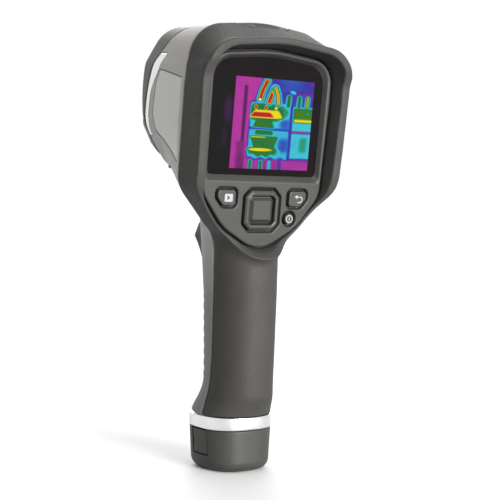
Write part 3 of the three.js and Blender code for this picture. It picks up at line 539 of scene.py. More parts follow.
# Colour, roughness, size and depth of the grain in millimetres, mottling and specular level.
MOULDED = {
    "bumper_rubber": ((0.0255, 0.0245, 0.0232), 0.6, 0.6, 0.045, 0.08, 0.14),
    "collar_plastic": ((0.088, 0.085, 0.081), 0.5, 0.4, 0.01, 0.06, 0.25),
    "side_plastic": ((0.25, 0.243, 0.232), 0.5, 0.4, 0.012, 0.04, 0.15),
    "panel_plastic": ((0.335, 0.33, 0.312), 0.42, 0.35, 0.008, 0.03, 0.35),
    "grip_rubber": ((0.105, 0.103, 0.098), 0.6, 0.6, 0.03, 0.06, 0.3),
    "fascia_plastic": ((0.0205, 0.0208, 0.0195), 0.48, 0.3, 0.01, 0.05, 0.25),
    "key_plastic": ((0.0235, 0.024, 0.0225), 0.42, 0.25, 0.006, 0.04, 0.25),
    "dark_plastic": ((0.013, 0.013, 0.014), 0.5, 0.35, 0.008, 0.1, 0.3),
    "trigger_plastic": ((0.20, 0.21, 0.22), 0.35, 0.4, 0.006, 0.05, 0.5),
    "base_plastic": ((0.0225, 0.0228, 0.0198), 0.5, 0.5, 0.025, 0.07, 0.25),
    "icon_white": ((0.19, 0.19, 0.187), 0.45, 0.2, 0.002, 0.02, 0.3),
}
# Colour and roughness, and whether it is brushed.
METALS = {
    "bright_trim": ((0.74, 0.75, 0.76), 0.22),
    "steel": ((0.6, 0.6, 0.62), 0.3, True),
    "dark_metal": ((0.06, 0.06, 0.065), 0.35),
    "brass": ((0.75, 0.55, 0.24), 0.25),
    "infrared_glass": ((0.2, 0.17, 0.15), 0.08),
}
M = {name: moulded(name, *look) for name, look in MOULDED.items()}
M.update({name: metal(name, *look) for name, look in METALS.items()})
M["clear_glass"] = coated("clear_glass", (0.01, 0.012, 0.03), 1.0, 0.5)
M["display_glass"] = coated("display_glass", (0.0030, 0.0020, 0.0022), 0.0, 0.10)
M["circuit_board"] = circuit("circuit_board")


def darker_below(material, low, high, factor):
    """The material's colour falls to that factor below a height, over low..high in metres."""
    tree = material.node_tree
    colour = tree.nodes["Principled BSDF"].inputs["Base Color"]
    source = colour.links[0].from_socket
    place = tree.nodes.new("ShaderNodeSeparateXYZ")
    tree.links.new(tree.nodes["Texture Coordinate"].outputs["Object"], place.inputs["Vector"])
    fade = tree.nodes.new("ShaderNodeMapRange")
    fade.interpolation_type = "SMOOTHSTEP"
    for name, value in (("From Min", low), ("From Max", high), ("To Min", factor), ("To Max", 1.0)):
        fade.inputs[name].default_value = value
    tree.links.new(place.outputs["Z"], fade.inputs["Value"])
    scale = tree.nodes.new("ShaderNodeVectorMath")
    scale.operation = "SCALE"
    tree.links.new(source, scale.inputs["Vector"])
    tree.links.new(fade.outputs["Result"], scale.inputs["Scale"])
    tree.links.new(scale.outputs["Vector"], colour)


darker_below(M["side_plastic"], 0.080, 0.150, 0.45)


# ---------------------------------------------------------------------------
# Head and grip fields
# ---------------------------------------------------------------------------
def beyond_oval(across, deep, half_x, half_y, exponent):
    """How far outside a superellipse a point is, as a share of its distance from the middle."""
    ratio = ((across / half_x) ** exponent + np.abs(deep / half_y) ** exponent) ** (1 / exponent)
    return 1 - 1 / np.maximum(ratio, 1e-3)


def grip_field(grid):
    centre, half_x, half_y = (curve(grid.z) for curve in grip_curves)
    across, deep = grid.ax, grid.y - centre
    field = np.sqrt(across ** 2 + deep ** 2) * beyond_oval(across, deep, half_x, half_y, GRIP_EXPONENT)
    return meet(np.maximum(field, grid.z - GRIP_TOP).astype(np.float32), GRIP_BOTTOM - grid.z, 0.6)


def split_field(grid):
    """Negative behind the split between the housings."""
    slope = (split_curve(grid.z + 1) - split_curve(grid.z - 1)) / 2
    return (grid.y - split_curve(grid.z)) / np.sqrt(1 + slope ** 2)


def arc_field(grid, offset, radius=GROOVE_RADIUS, tip=GROOVE_V):
    """Negative behind the groove's arc, or behind another arc in front of it."""
    return np.hypot(grid.f - (GROOVE_F - radius + offset), grid.v - tip) - radius


def bumper_field(grid):
    return grid.loft((-30, RIM), (-11, RIM), (7.5, BUMPER), (30, BUMPER), step=STEP)


def side_field(grid):
    return grid.loft((-30, SIDE_REAR), (SEAM_F, SIDE_REAR),
                     (SIDE_SQUARE_F, SIDE_FRONT), (90, SIDE_FRONT), step=STEP)


COVER = dict(half=16.5, rear=1.5, front=23.0, foot=44)


def cover_field(grid, grow=0.0):
    corners = [(COVER["half"], COVER["rear"], 9), (COVER["half"], COVER["front"], 2),
               (-COVER["half"], COVER["front"], 2), (-COVER["half"], COVER["rear"], 9)]
    return np.maximum(polygon_field(rounded(corners), grid.x, grid.f) - grow, COVER["foot"] - grid.v)


def rear_shell():
    grid = Grid((0, 48.6), (-27, 12.2), (-160.6, 53.4), 0.42)
    head = bumper_field(grid)
    body = join(head, grip_field(grid), FILLET)
    body = meet(body, split_field(grid) + SEAM_GAP / 2, BUMPER_EDGE)
    face = rear_face_curve(grid.v)
    slope = (rear_face_curve(grid.v + 0.5) - rear_face_curve(grid.v - 0.5))
    body = meet(body, (face - grid.f) / np.sqrt(1 + slope ** 2), 0.9)
    grow = np.interp(grid.f, (VISOR_F, FASCIA_F, FASCIA_BACK_F), (3.6, 1.3, 1.2)).astype(np.float32)
    pocket = np.maximum(grid.outline(PANEL) - grow, grid.f - FASCIA_BACK_F - 0.3)
    body = cut(body, pocket, 0.8)
    body = cut(body, cover_field(grid, 0.45), 0.4)
    inner = np.maximum(head + WALL + 0.9, FASCIA_BACK_F + 1.8 - grid.f)
    hollow = join(inner, np.maximum(grip_field(grid) + WALL, grid.z - 106), 2)
    window = np.maximum(grid.outline(PANEL) + 1.2, np.abs(grid.f - FASCIA_BACK_F) - 4)
    return sculpted("rear_shell", grid, cut(cut(body, hollow), window), 0.4)


SIDE_PANEL = ((14, -24, 2), (43, -9.4, 4), (45.8, 2, 8), (44.2, 18, 4), (40.6, 24.2, 2), (13.8, 20.6, 1.5))
TRIM_WIDTH, TRIM_LOW, TRIM_HIGH = 3.0, -12.0, 33.0
TRIGGER_SLOT = dict(half=7.1, back=4, low=100.5, high=141.5)
SCREW_HOLES = ((0, 42.5), (12, 146))             # x and z; each stands for both sides
SCREW_HOLE_RADIUS, SCREW_HOLE_Y = 2.8, 12.0


def trim_band(grid):
    """Distance to the bright trim's strip in side view: a crescent that widens to a flat upper end."""
    arc = arc_field(grid, -0.7)
    width = TRIM_WIDTH + 3.4 * smooth_step(10, 26, grid.v) - 1.6 * smooth_step(-2, TRIM_LOW, grid.v)
    band = np.maximum(arc, -(arc + width))
    return meet(band, np.maximum(grid.v - TRIM_HIGH, TRIM_LOW - grid.v), 0.3)


def front_shell():
    grid = Grid((0, 46.2), (-26, 56.5), (-160.6, 53.6), 0.45)
    side = side_field(grid)
    grip = grip_field(grid)
    body = join(side, grip, FILLET)
    body = meet(body, SEAM_GAP / 2 - split_field(grid), SEAM_EDGE)
    groove = np.minimum(arc_field(grid, -0.1), grid.v - GROOVE_FOOT)
    body = meet(body, groove, SEAM_EDGE)
    body = cut(body, cover_field(grid, 0.45), 0.4)
    slot = overlap(grid.ax - TRIGGER_SLOT["half"], TRIGGER_SLOT["back"] - grid.y,
                   slab(grid.z, TRIGGER_SLOT["low"], TRIGGER_SLOT["high"]))
    body = cut(body, slot, 0.5)
    panel = grid.profile(SIDE_PANEL)
    body = cut(body, np.maximum(panel - 0.35, -(side + 1.7)), 0.3)
    trim = overlap(trim_band(grid) - 0.25, -(side + 1.9), 30 - grid.ax)
    body = cut(body, trim, 0.25)
    pad = np.maximum(pad_field(grid) - 0.3, -(grip + 1.8))
    body = cut(body, pad, 0.3)
    for x, z in SCREW_HOLES:
        hole = np.hypot(grid.ax - x, grid.z - z) - SCREW_HOLE_RADIUS
        body = cut(body, np.maximum(hole, SCREW_HOLE_Y - grid.y), 0.3)
    hollow = join(np.maximum(side + WALL, grid.f - 90), np.maximum(grip + WALL, grid.z - 150), 2)
    return sculpted("front_shell", grid, cut(body, hollow), 0.35)


PAD = dict(low=50.0, high=97.0, half=14.5, pitch=6.2)


def pad_field(grid):
    """The grip pad's outline seen from the front."""
    return overlap(grid.ax - PAD["half"], slab(grid.z, PAD["low"], PAD["high"]), -grid.y)


def grip_pad():
    grid = Grid((0, 15.5), (0, 15), (48, 99), 0.3, world=True)
    grip = grip_field(grid)
    turn = (grid.z - PAD["low"] - 1.9) / PAD["pitch"]
    from_groove = np.abs(turn - np.floor(turn) - 0.5) * PAD["pitch"]
    body = meet(meet(grip + 1.0 * smooth_step(1.5, 0.4, from_groove), pad_field(grid), 0.5), -(grip + 1.6))
    return sculpted("grip_pad_ridged", grid, body, 0.6)


def side_panel(name, side):
    grid = Grid((29, 46), (12, 45.5), (-26, 26), 0.25, mirrored=False)
    body = meet(side_field(grid) + 0.1, grid.profile(SIDE_PANEL), 0.9)
    return sculpted(name, grid, cut(body, side_field(grid) + 1.6), 0.5, side)


def side_trim(name, side):
    grid = Grid((29, 45), (30, 55), (TRIM_LOW - 1, TRIM_HIGH + 1), 0.2, mirrored=False)
    body = meet(side_field(grid) - 0.15, trim_band(grid), 0.6)
    return sculpted(name, grid, cut(body, side_field(grid) + 1.7), 0.6, side)


def nose_field(grid, inset=0.0):
    return grid.loft((40, SIDE_FRONT, WALL + 0.5 + inset), (45, SIDE_FRONT, WALL + 0.5 + inset),
                     (63, NOSE_REAR, inset), (84, NOSE_MID, inset), (NOSE_FRONT_F, NOSE_FRONT, inset))


def collar():
    grid = Grid((0, 43.5), (20, 60), (-40, 51), 0.32)
    outer = meet(side_field(grid), arc_field(grid, COLLAR_DEPTH, COLLAR_RADIUS, COLLAR_V), 1.0)
    outer = meet(outer, -np.minimum(arc_field(grid, 1.0), grid.v - GROOVE_FOOT), SEAM_EDGE)
    return sculpted("collar", grid, cut(outer, nose_field(grid, -0.3), 0.5), 0.4)


def nose():
    grid = Grid((0, 41), (38.5, 101), (-40, 50), 0.45)
    body = nose_field(grid)
    body = meet(body, np.maximum(grid.f - NOSE_FRONT_F, 40 - grid.f), 1.2)
    hollow = np.maximum(nose_field(grid, 2.3), grid.f - NOSE_FRONT_F + 2.4)
    body = cut(body, hollow)
    for v, radius in ((LENS_V, LENS_HOLE_RADIUS), (CAMERA_V, CAMERA_HOLE_RADIUS)):
        hole = np.hypot(grid.x, grid.v - v) - radius
        body = cut(body, np.maximum(hole, NOSE_FACE_F - grid.f), 0.4)
    lever = overlap(grid.ax - 3.7, np.abs(grid.f - 88) - 7.5, np.abs(grid.v + 26) - 7)
    return sculpted("nose", grid, cut(body, lever, 0.5), 0.4)


piece(rear_shell(), "housing", "bumper_rubber", "rear_housing")
piece(front_shell(), "housing", "side_plastic", "front_housing")
piece(grip_pad(), "housing", "grip_rubber", "grip_pad")
piece(collar(), "housing", "bumper_rubber", "front_collar", look="collar_plastic")
piece(nose(), "housing", "dark_plastic", "nose_housing")
for label, side in (("left", -1), ("right", 1)):
    piece(side_panel(f"panel_{label}", side), "housing", "panel_plastic", f"side_panel_{label}")
    piece(side_trim(f"trim_bar_{label}", side), "housing", "bright_trim", f"trim_{label}")

# ---------------------------------------------------------------------------
# Fascia, display and keys
# ---------------------------------------------------------------------------
NAV_V = -45.7


def octagon(half_x, half_v, chamfer, radius):
    corners = [(half_x, -half_v + chamfer), (half_x, half_v - chamfer), (half_x - chamfer, half_v),
               (-half_x + chamfer, half_v), (-half_x, half_v - chamfer), (-half_x, -half_v + chamfer),
               (-half_x + chamfer, -half_v), (half_x - chamfer, -half_v)]
    return [(x, v + NAV_V, radius) for x, v in corners]


LEFT_KEY = [(-17.2, -43.4, 1.8), (-17.2, -35.2, 1.8), (-28.2, -35.2, 1.8),
            (-28.2, -39.2, 1.5), (-24.6, -43.4, 1.5)]
RIGHT_KEY = [(-x, v, r) for x, v, r in reversed(LEFT_KEY)]
NAV_OUTER = octagon(10.7, 10.6, 3.6, 1)
NAV_INNER = octagon(8.2, 7.8, 1.8, 0.6)
NAV_CENTRE = octagon(7.7, 7.3, 1.7, 0.8)
POWER_X, POWER_V, POWER_RADIUS = 18.3, -50.2, 2.9
KEY_FRONT_F = FASCIA_F - 0.3
KEY_BACK_F = -1.5


def window_corners(grow, sill):
    return [(34.4 + grow, -27.2 - sill - grow, 2.5), (34.9 + grow, 31.6 + grow, 11), (0, 35.4 + grow, 90),
            (-34.9 - grow, 31.6 + grow, 11), (-34.4 - grow, -27.2 - sill - grow, 2.5)]


def power_key_field(grid):
    return np.hypot(grid.x - POWER_X, grid.v - POWER_V) - POWER_RADIUS


def key_fields(grid):
    keys = [grid.front(corners) for corners in (LEFT_KEY, RIGHT_KEY, NAV_OUTER)]
    return [*keys, power_key_field(grid)]


def fascia():
    grid = Grid((-40.4, 40.4), (-7.2, -2.2), (-70, 39.6), 0.25, mirrored=False)
    body = meet(grid.outline(PANEL), FASCIA_F - grid.f, 0.9)
    body = meet(body, grid.f - FASCIA_BACK_F)
    wide = grid.front(window_corners(1.7, 1.6))
    tight = grid.front(window_corners(0, 0))
    depth = np.clip((grid.f - FASCIA_F) / (FASCIA_BACK_F - 0.5 - FASCIA_F), 0, 1)
    body = cut(body, (1 - depth) * wide + depth * tight, 0.55)
    for key in key_fields(grid):
        recess = np.maximum(key - 1.75 + 0.3 * (grid.f - FASCIA_F), grid.f + 3.7)
        body = cut(body, recess, 0.35)
        body = cut(body, key - 0.35)
    return sculpted("fascia_plate", grid, body, 0.4)


def key_cap(name, shape, x, v):
    """A key with a flange under the fascia; its shape is a list of corners or a field."""
    grid = Grid(x, (KEY_FRONT_F - 0.6, KEY_BACK_F + 0.3), v, 0.14, mirrored=False)
    key = shape(grid) if callable(shape) else grid.front(shape)
    body = meet(key, KEY_FRONT_F - grid.f, 0.55)
    flange = np.maximum(key - 0.9, FASCIA_BACK_F + 0.3 - grid.f)
    return sculpted(name, grid, meet(join(body, flange), grid.f - KEY_BACK_F), 0.5)


def nav_ring():
    grid = Grid((0, 11.6), (-8.6, -3.0), (NAV_V - 11.6, NAV_V + 11.6), 0.14)
    outer = grid.front(NAV_OUTER)
    inner = grid.front(NAV_INNER)
    crown = KEY_FRONT_F - 0.8 + 0.9 * smooth_step(-1.9, 0.2, outer) + 0.5 * smooth_step(1.5, -0.2, inner)
    body = meet(outer, crown - grid.f, 0.5)
    body = meet(cut(body, inner, 0.35), grid.f + 3.4)
    return sculpted("nav_ring_cap", grid, body, 0.5)


def nav_centre():
    grid = Grid((0, 8.4), (-7.6, -1.2), (NAV_V - 8, NAV_V + 8), 0.13)
    key = grid.front(NAV_CENTRE)
    crown = KEY_FRONT_F - 0.2 + 1.9 * smooth_step(-2.7, -0.3, key)
    body = meet(meet(key, crown - grid.f, 0.3), grid.f - KEY_BACK_F)
    return sculpted("nav_centre_cap", grid, body, 0.5)


def icon(name, body, x, v, shape):
    """A printed white mark on a key, from a flat field of (x, v)."""
    grid = Grid(x, (KEY_FRONT_F - 0.09, KEY_FRONT_F + 0.21), v, 0.07, mirrored=False)
    field = np.maximum(shape(grid.x, grid.v), np.abs(grid.f - KEY_FRONT_F - 0.05) - 0.09)
    piece(sculpted(name, grid, field, 0.5), body, "key_plastic", look="icon_white")


def rounded_box_field(a, b, half_a, half_b, radius):
    da, db = np.abs(a) - half_a + radius, np.abs(b) - half_b + radius
    return np.hypot(np.maximum(da, 0), np.maximum(db, 0)) + np.minimum(np.maximum(da, db), 0) - radius


def playback_mark(x, v):
    x, v = x + 21.6, v + 39.3
    tab = rounded_box_field(x, v, 2.5, 2.1, 0.5)
    triangle = np.maximum(-(x + 0.8), 0.62 * (x - 0.9) + 0.8 * np.abs(v))
    return np.maximum(tab, -triangle)


def back_mark(x, v):
    x, v = x - 23.6, v + 39.6
    bend = np.abs(np.hypot(np.maximum(x - 0.6, 0), v) - 1.5) - 0.3
    bend = np.maximum(bend, -(x + 1.2))
    bend = np.maximum(bend, -(v + 2.2))
    low_arm = np.maximum(bend, np.where(v < 0, -(x + 0.9), -10))
    head = np.maximum(np.abs(v - 1.5) - 0.62 * (x + 3.0), x + 1.1)
    return np.minimum(low_arm, head)


def power_mark(x, v):
    x, v = x - POWER_X, v - POWER_V
    ring = np.abs(np.hypot(x, v) - 1.9) - 0.27
    bar = rounded_box_field(x, v, 0.26, 1.0, 0.2)
    return np.minimum(ring, bar)


piece(fascia(), "housing", "fascia_plastic", "fascia")
KEY_V = (-44.8, -33.8)
KEY_REACH = 4.1          # of the round key's grid
piece(key_cap("key_left", LEFT_KEY, (-29.6, -15.8), KEY_V), "playback_key", "key_plastic", "key_playback")
piece(key_cap("key_right", RIGHT_KEY, (15.8, 29.6), KEY_V), "back_key", "key_plastic", "key_back")
piece(key_cap("key_round", power_key_field, (POWER_X - KEY_REACH, POWER_X + KEY_REACH),
              (POWER_V - KEY_REACH, POWER_V + KEY_REACH)),
      "power_key", "key_plastic", "key_power")
piece(nav_ring(), "rocker_ring", "key_plastic", "nav_ring")
piece(nav_centre(), "centre_key", "key_plastic", "nav_centre")
icon("mark_playback", "playback_key", (-25, -18), (-42.2, -36.4), playback_mark)
icon("mark_back", "back_key", (19.6, 27), (-42.4, -36.8), back_mark)
icon("mark_power", "power_key", (POWER_X - 2.6, POWER_X + 2.6), (POWER_V - 2.6, POWER_V + 2.6), power_mark)


# ---------------------------------------------------------------------------
# Display: gloss glass, and a generic false-colour picture of a row of breakers
# ---------------------------------------------------------------------------
GLASS_F = -3.5
LCD_X, LCD_HALF_X, LCD_HALF_V = -2.3, 31.6, 23.9


def display_glass():
    grid = Grid((0, 38), (-4.0, -1.2), (-29.5, 38), 0.25)
    body = meet(grid.front(window_corners(0.5, 0)), GLASS_F - grid.f, 0.3)
    return sculpted("display_glass", grid, meet(body, grid.f + 1.5), 0.15)


def spot(a, b, at, size, softness=0.35):
    """1 inside an ellipse and 0 outside, with a soft edge."""
    distance = np.hypot((a - at[0]) / size[0], (b - at[1]) / size[1])
    return smooth_step(1 + softness, 1 - softness, distance)


def block(a, b, at_a, at_b, softness=0.012):
    """1 inside a rectangle and 0 outside, with a soft edge."""
    within = []
    for at, (low, high) in ((a, at_a), (b, at_b)):
        rise = smooth_step(low - softness, low + softness, at)
        within.append(rise * smooth_step(high + softness, high - softness, at))
    return within[0] * within[1]


def wire(a, b, points, width, softness):
    """1 on a line through the points and 0 away from it, with a soft edge."""
    distance = np.full(a.shape, 9.0)
    for (a0, b0), (a1, b1) in zip(points, points[1:]):
        length = (a1 - a0) ** 2 + (b1 - b0) ** 2
        along = np.clip(((a - a0) * (a1 - a0) + (b - b0) * (b1 - b0)) / length, 0, 1)
        distance = np.minimum(distance, np.hypot(a - a0 - along * (a1 - a0), b - b0 - along * (b1 - b0)))
    return smooth_step(width + softness, width - softness, distance)


def ripple(a, b, seed):
    """Smooth seeded waves, between -1 and 1."""
    rng = np.random.default_rng(seed)
    total = np.zeros(a.shape)
    for _ in range(7):
        angle, rate, phase = rng.uniform(0, math.pi), rng.uniform(8, 34), rng.uniform(0, 6.28)
        total += np.sin(rate * (a * math.cos(angle) + b * math.sin(angle)) + phase)
    return total / 5


def mixed(base, value, amount):
    return base + (value - base) * amount


def painted(t, a, b, rows):
    """The heat with rows of (level, shape, its arguments) laid over it in turn."""
    for level, shape, *args in rows:
        t = mixed(t, level, shape(a, b, *args))
    return t


def heat(a, b):
    """Heat from 0 to 1 over the picture; a runs right from 0 to 1 and b runs down from 0 to 1."""
    wave = ripple(a, b, 4)
    # The wall behind: cool blue streaks at the top, and a magenta trunking at the left and bottom.
    t = 0.225 + 0.035 * ripple(a * 0.8, b * 2.4, 3)
    t = mixed(t, 0.40, 0.8 * smooth_step(0.75, 1.1, ripple(a * 1.6, b * 3.6, 21)))
    t = painted(t, a, b, (
        (0.152 + 0.012 * wave, block, (0.2, 0.385), (-0.1, 1.1), 0.02),
        (0.152, spot, (0.40, 0.08), (0.10, 0.18), 0.5),
        (0.085, block, (0.292, 0.328), (0.09, 0.72), 0.01),
        (0.095 + 0.02 * wave, block, (0.255, 0.345), (0.70, 1.1), 0.03),
        (0.165 + 0.012 * wave, block, (0.36, 1.1), (0.885, 1.2), 0.03)))
    for at, level in ((0.405, 0.55), (0.51, 0.55), (0.555, 0.12),
                      (0.597, 0.40), (0.65, 0.12), (0.70, 0.24)):
        t = mixed(t, level, block(a, b, (at - 0.018, at + 0.018), (0.90, 1.1), 0.012))
    # The left breaker: a hot bar under three terminals, and two cooler rows below.
    t = mixed(t, 0.35, block(a, b, (0.368, 0.775), (0.265, 0.545), 0.016))
    warm = spot(a, b, (0.53, 0.37), (0.205, 0.115), 0.25)
    t = mixed(t, 0.52, warm * block(a, b, (0.37, 0.775), (0.27, 0.47)))
    t = painted(t, a, b, (
        (0.76, wedge, (0.36, 0.71), 0.437, 0.345),
        (0.91, wedge, (0.365, 0.61), 0.424, 0.372)))
    for at, level in ((0.42, 0.93), (0.523, 0.93), (0.625, 0.77)):
        t = mixed(t, level, spot(a, b, (at, 0.318), (0.015, 0.022)))
    t = painted(t, a, b, (
        (0.46, spot, (0.73, 0.36), (0.022, 0.024)),
        (0.56, wedge, (0.40, 0.62), 0.545, 0.45),
        (0.26, block, (0.68, 0.775), (0.44, 0.545), 0.04),
        (0.34, block, (0.365, 0.775), (0.56, 0.88 + 0.012 * np.sin(60 * a)), 0.018),
        (0.25, block, (0.68, 0.775), (0.66, 0.80), 0.04),
        (0.52, block, (0.43, 0.61), (0.565, 0.62), 0.012),
        (0.56 + 0.02 * wave, wedge, (0.385, 0.67), 0.635, 0.78),
        (0.74, block, (0.39, 0.54), (0.638, 0.652), 0.01),
        (0.56, spot, (0.52, 0.80), (0.145, 0.055 + 0.012 * np.sin(70 * a))),
        (0.76, spot, (0.49, 0.785), (0.125, 0.017)),
        (0.23, block, (0.36, 0.79), (0.540 + 0.03 * (a - 0.36), 0.556 + 0.03 * (a - 0.36)), 0.010)))
    # The right breaker, cut off by the picture's edge.
    inside = block(a, b, (0.80, 1.1), (0.29, 0.87), 0.016)
    t = mixed(t, 0.36 + 0.035 * ripple(a * 1.3, b, 12), inside)
    t = painted(t, a, b, (
        (0.60, block, (0.81, 1.1), (0.31, 0.45), 0.02),
        (0.76, block, (0.815, 1.1), (0.430, 0.462), 0.012),
        (0.46, spot, (0.955, 0.36), (0.02, 0.024)),
        (0.155, block, (0.80, 1.1), (0.562, 0.588), 0.01),
        (0.44, block, (0.89, 0.97), (0.63, 0.80), 0.03),
        (0.22, block, (0.778, 0.797), (0.26, 0.9), 0.008)))
    # Wires above, each in its own warm haze.
    for points, level, width in ((((0.515, 0.03), (0.475, 0.13), (0.456, 0.23)), 0.90, 0.018),
                                 (((0.595, 0.10), (0.572, 0.17), (0.548, 0.255)), 0.90, 0.019),
                                 (((0.605, 0.10), (0.632, 0.17), (0.643, 0.265)), 0.83, 0.013)):
        t = mixed(t, 0.36, wire(a, b, points, width + 0.026, 0.014))
        t = mixed(t, 0.53, wire(a, b, points, width + 0.010, 0.008))
        t = mixed(t, level, wire(a, b, points, width, 0.006))
    for at, level in ((0.75, 0.54), (0.86, 0.52), (0.945, 0.66)):
        t = mixed(t, 0.36, wire(a, b, ((at, 0.19), (at - 0.004, 0.265)), 0.030, 0.012))
        t = mixed(t, level, wire(a, b, ((at, 0.18), (at - 0.004, 0.285)), 0.016, 0.008))
    t = mixed(t, 1.0, spot(a, b, (0.455, 0.235), (0.012, 0.016)))
    # The unlit corner at the left, with a faint glow in it.
    glow = (0.05 * spot(a, b, (0.15, 0.36), (0.035, 0.12), 0.7)
            + 0.02 * spot(a, b, (0.13, 0.66), (0.03, 0.10), 0.7))
    return mixed(t, glow, smooth_step(0.206, 0.198, a))


def wedge(a, b, across, wide_b, narrow_b):
    """1 inside a trapezoid that is wide at wide_b and draws in at both sides towards narrow_b."""
    part = np.clip((b - wide_b) / (narrow_b - wide_b), 0, 1)
    reach = (across[1] - across[0]) * 0.16 * part
    low, high = sorted((wide_b, narrow_b))
    sides = smooth_step(across[0] + reach - 0.012, across[0] + reach + 0.012, a)
    sides = sides * smooth_step(across[1] - reach + 0.02, across[1] - reach - 0.02, a)
    return sides * block(a, b, (-1, 2), (low, high), 0.012)


# Heat and the colour that shows it.
PALETTE = (
    (0.0, (0.001, 0.001, 0.0008)), (0.08, (0.07, 0.003, 0.09)), (0.155, (0.50, 0.03, 0.36)),
    (0.185, (0.20, 0.02, 0.36)), (0.225, (0.035, 0.025, 0.36)), (0.29, (0.01, 0.17, 0.66)),
    (0.36, (0.05, 0.60, 0.72)), (0.43, (0.01, 0.36, 0.22)), (0.53, (0.004, 0.17, 0.035)),
    (0.60, (0.05, 0.20, 0.006)), (0.69, (0.50, 0.56, 0.005)), (0.77, (0.95, 0.78, 0.0)),
    (0.83, (0.80, 0.25, 0.006)), (0.89, (0.60, 0.006, 0.008)), (0.94, (0.40, 0.003, 0.008)),
    (0.99, (0.95, 0.95, 0.95)),
)


def thermal_picture():
    columns, rows = 320, 240
    a, b = np.meshgrid(np.linspace(0, 1, columns + 1), np.linspace(0, 1, rows + 1), indexing="ij")
    x = (2 * a - 1) * LCD_HALF_X + LCD_X
    v = (1 - 2 * b) * LCD_HALF_V
    points = to_row(np.stack((x.ravel(), np.full(a.size, GLASS_F - 0.04), v.ravel()), axis=1))
    index = np.arange(a.size).reshape(a.shape)
    corners = (index[:-1, :-1], index[1:, :-1], index[1:, 1:], index[:-1, 1:])
    quads = np.stack([corner.ravel() for corner in corners], axis=1)
    obj = mesh_object("thermal_picture", points, quads[:, ::-1])
    warmth = obj.data.attributes.new("warmth", "FLOAT", "POINT")
    warmth.data.foreach_set("value", heat(a, b).astype(np.float32).ravel())
    n = Nodes("thermal_picture")
    source = n.add("ShaderNodeAttribute", attribute_name="warmth").outputs["Fac"]
    palette = n.ramp(source, *PALETTE)
    n.feed(Base_Color=(0.001, 0.001, 0.001, 1), Roughness=0.08, Specular_IOR_Level=0.15,
           Emission_Color=palette, Emission_Strength=0.9)
    M["thermal_picture"] = n.material
    return obj


piece(display_glass(), "housing", "display_glass", "display_window")
piece(thermal_picture(), "housing", "display_glass", look="thermal_picture")


# ---------------------------------------------------------------------------
# Top cover, trigger, ring and battery
# ---------------------------------------------------------------------------
HINGE_F, HINGE_V, HINGE_RADIUS = 21.2, 49.2, 1.3
PIVOT_Y, PIVOT_Z, PIVOT_RADIUS = 13.5, 137.0, 1.6
FINGER_Y, FINGER_Z, FINGER_RADIUS = 76.3, 88.5, 61.0         # the round hollow in the trigger


def connector_cover():
    grid = Grid((0, 17.2), (0.8, 23.8), (44, 54.2), 0.22)
    skin = grid.loft((-11, RIM), (7.5, BUMPER), (12, SIDE_REAR), (SIDE_SQUARE_F, SIDE_FRONT))
    thumb = spot_dome(grid, 4.2, 2.6)
    body = meet(cover_field(grid), skin + 0.15 + 0.7 * thumb, 0.5)
    lid = cut(body, np.maximum(skin + 2.1, cover_field(grid, -1.0)))
    plug = overlap(grid.ax - 3.3, np.abs(grid.f - 11.5) - 0.9, 45 - grid.v, skin + 1.5)
    knuckle = np.maximum(np.hypot(grid.f - HINGE_F, grid.v - HINGE_V) - HINGE_RADIUS, grid.ax - 12)
    return sculpted("cover_lid", grid, join(join(lid, plug), np.maximum(knuckle, skin + 0.3)), 0.5)


def spot_dome(grid, f, reach):
    return smooth_step(reach, 0, np.abs(grid.f - f)) * smooth_step(9, 6, grid.ax)


def trigger():
    grid = Grid((0, 6.6), (8, 31), (101, 142), 0.25, world=True)
    outer = grid.profile([(9.5, 103.5, 1), (17, 103, 2), (29.8, 128, 1.4), (24.5, 135.5, 3),
                          (16.5, 140.4, 3), (9.5, 140.4, 2)])
    finger_rest = np.hypot(grid.y - FINGER_Y, grid.z - FINGER_Z) - FINGER_RADIUS
    body = meet(cut(outer, finger_rest, 0.8), grid.ax - 6.5, 1.6)
    bore = np.hypot(grid.y - PIVOT_Y, grid.z - PIVOT_Z) - PIVOT_RADIUS
    return sculpted("trigger_lever", grid, cut(body, bore), 0.5)


def superellipse(half_x, half_y, exponent, sides):
    angles = np.linspace(0, 2 * math.pi, sides, endpoint=False)
    axes = [half * np.sign(at) * np.abs(at) ** (2 / exponent)
            for half, at in ((half_x, np.cos(angles)), (half_y, np.sin(angles)))]
    return np.stack(axes, axis=1)


def hoop(name, profile):
    """A ring that follows the base's outline; profile is (inset, z) pairs, closed."""
    points = []
    for inset, z in profile:
        flat = superellipse(BASE_HALF[0] - inset, BASE_HALF[1] - inset, BASE_EXPONENT, HOOP_SIDES)
        points.append(np.column_stack((flat, np.full(HOOP_SIDES, z))))
    return mesh_object(name, np.concatenate(points), tube_quads(len(profile), HOOP_SIDES, True))


def base_field(grid):
    """The battery base's outside, without its flat ends."""
    draw_in = np.interp(grid.z, (0, 1, 3, 5, BASE_HEIGHT), (5.4, 3.4, 1.8, 1.2, 0.3))
    grow = draw_in.astype(np.float32)
    outside = beyond_oval(grid.ax, grid.y, BASE_HALF[0] - grow, BASE_HALF[1] - grow, BASE_EXPONENT)
    return (np.hypot(grid.ax, grid.y) * outside).astype(np.float32)


LATCH = dict(half=7.4, bottom=9.0, top=22.4)


def latch_field(grid, grow=0.0):
    sides = rounded_box_field(grid.y, grid.z - (LATCH["bottom"] + LATCH["top"]) / 2,
                              LATCH["half"] + grow, (LATCH["top"] - LATCH["bottom"]) / 2 + grow, 1.2)
    return np.maximum(sides, 14 - grid.ax)


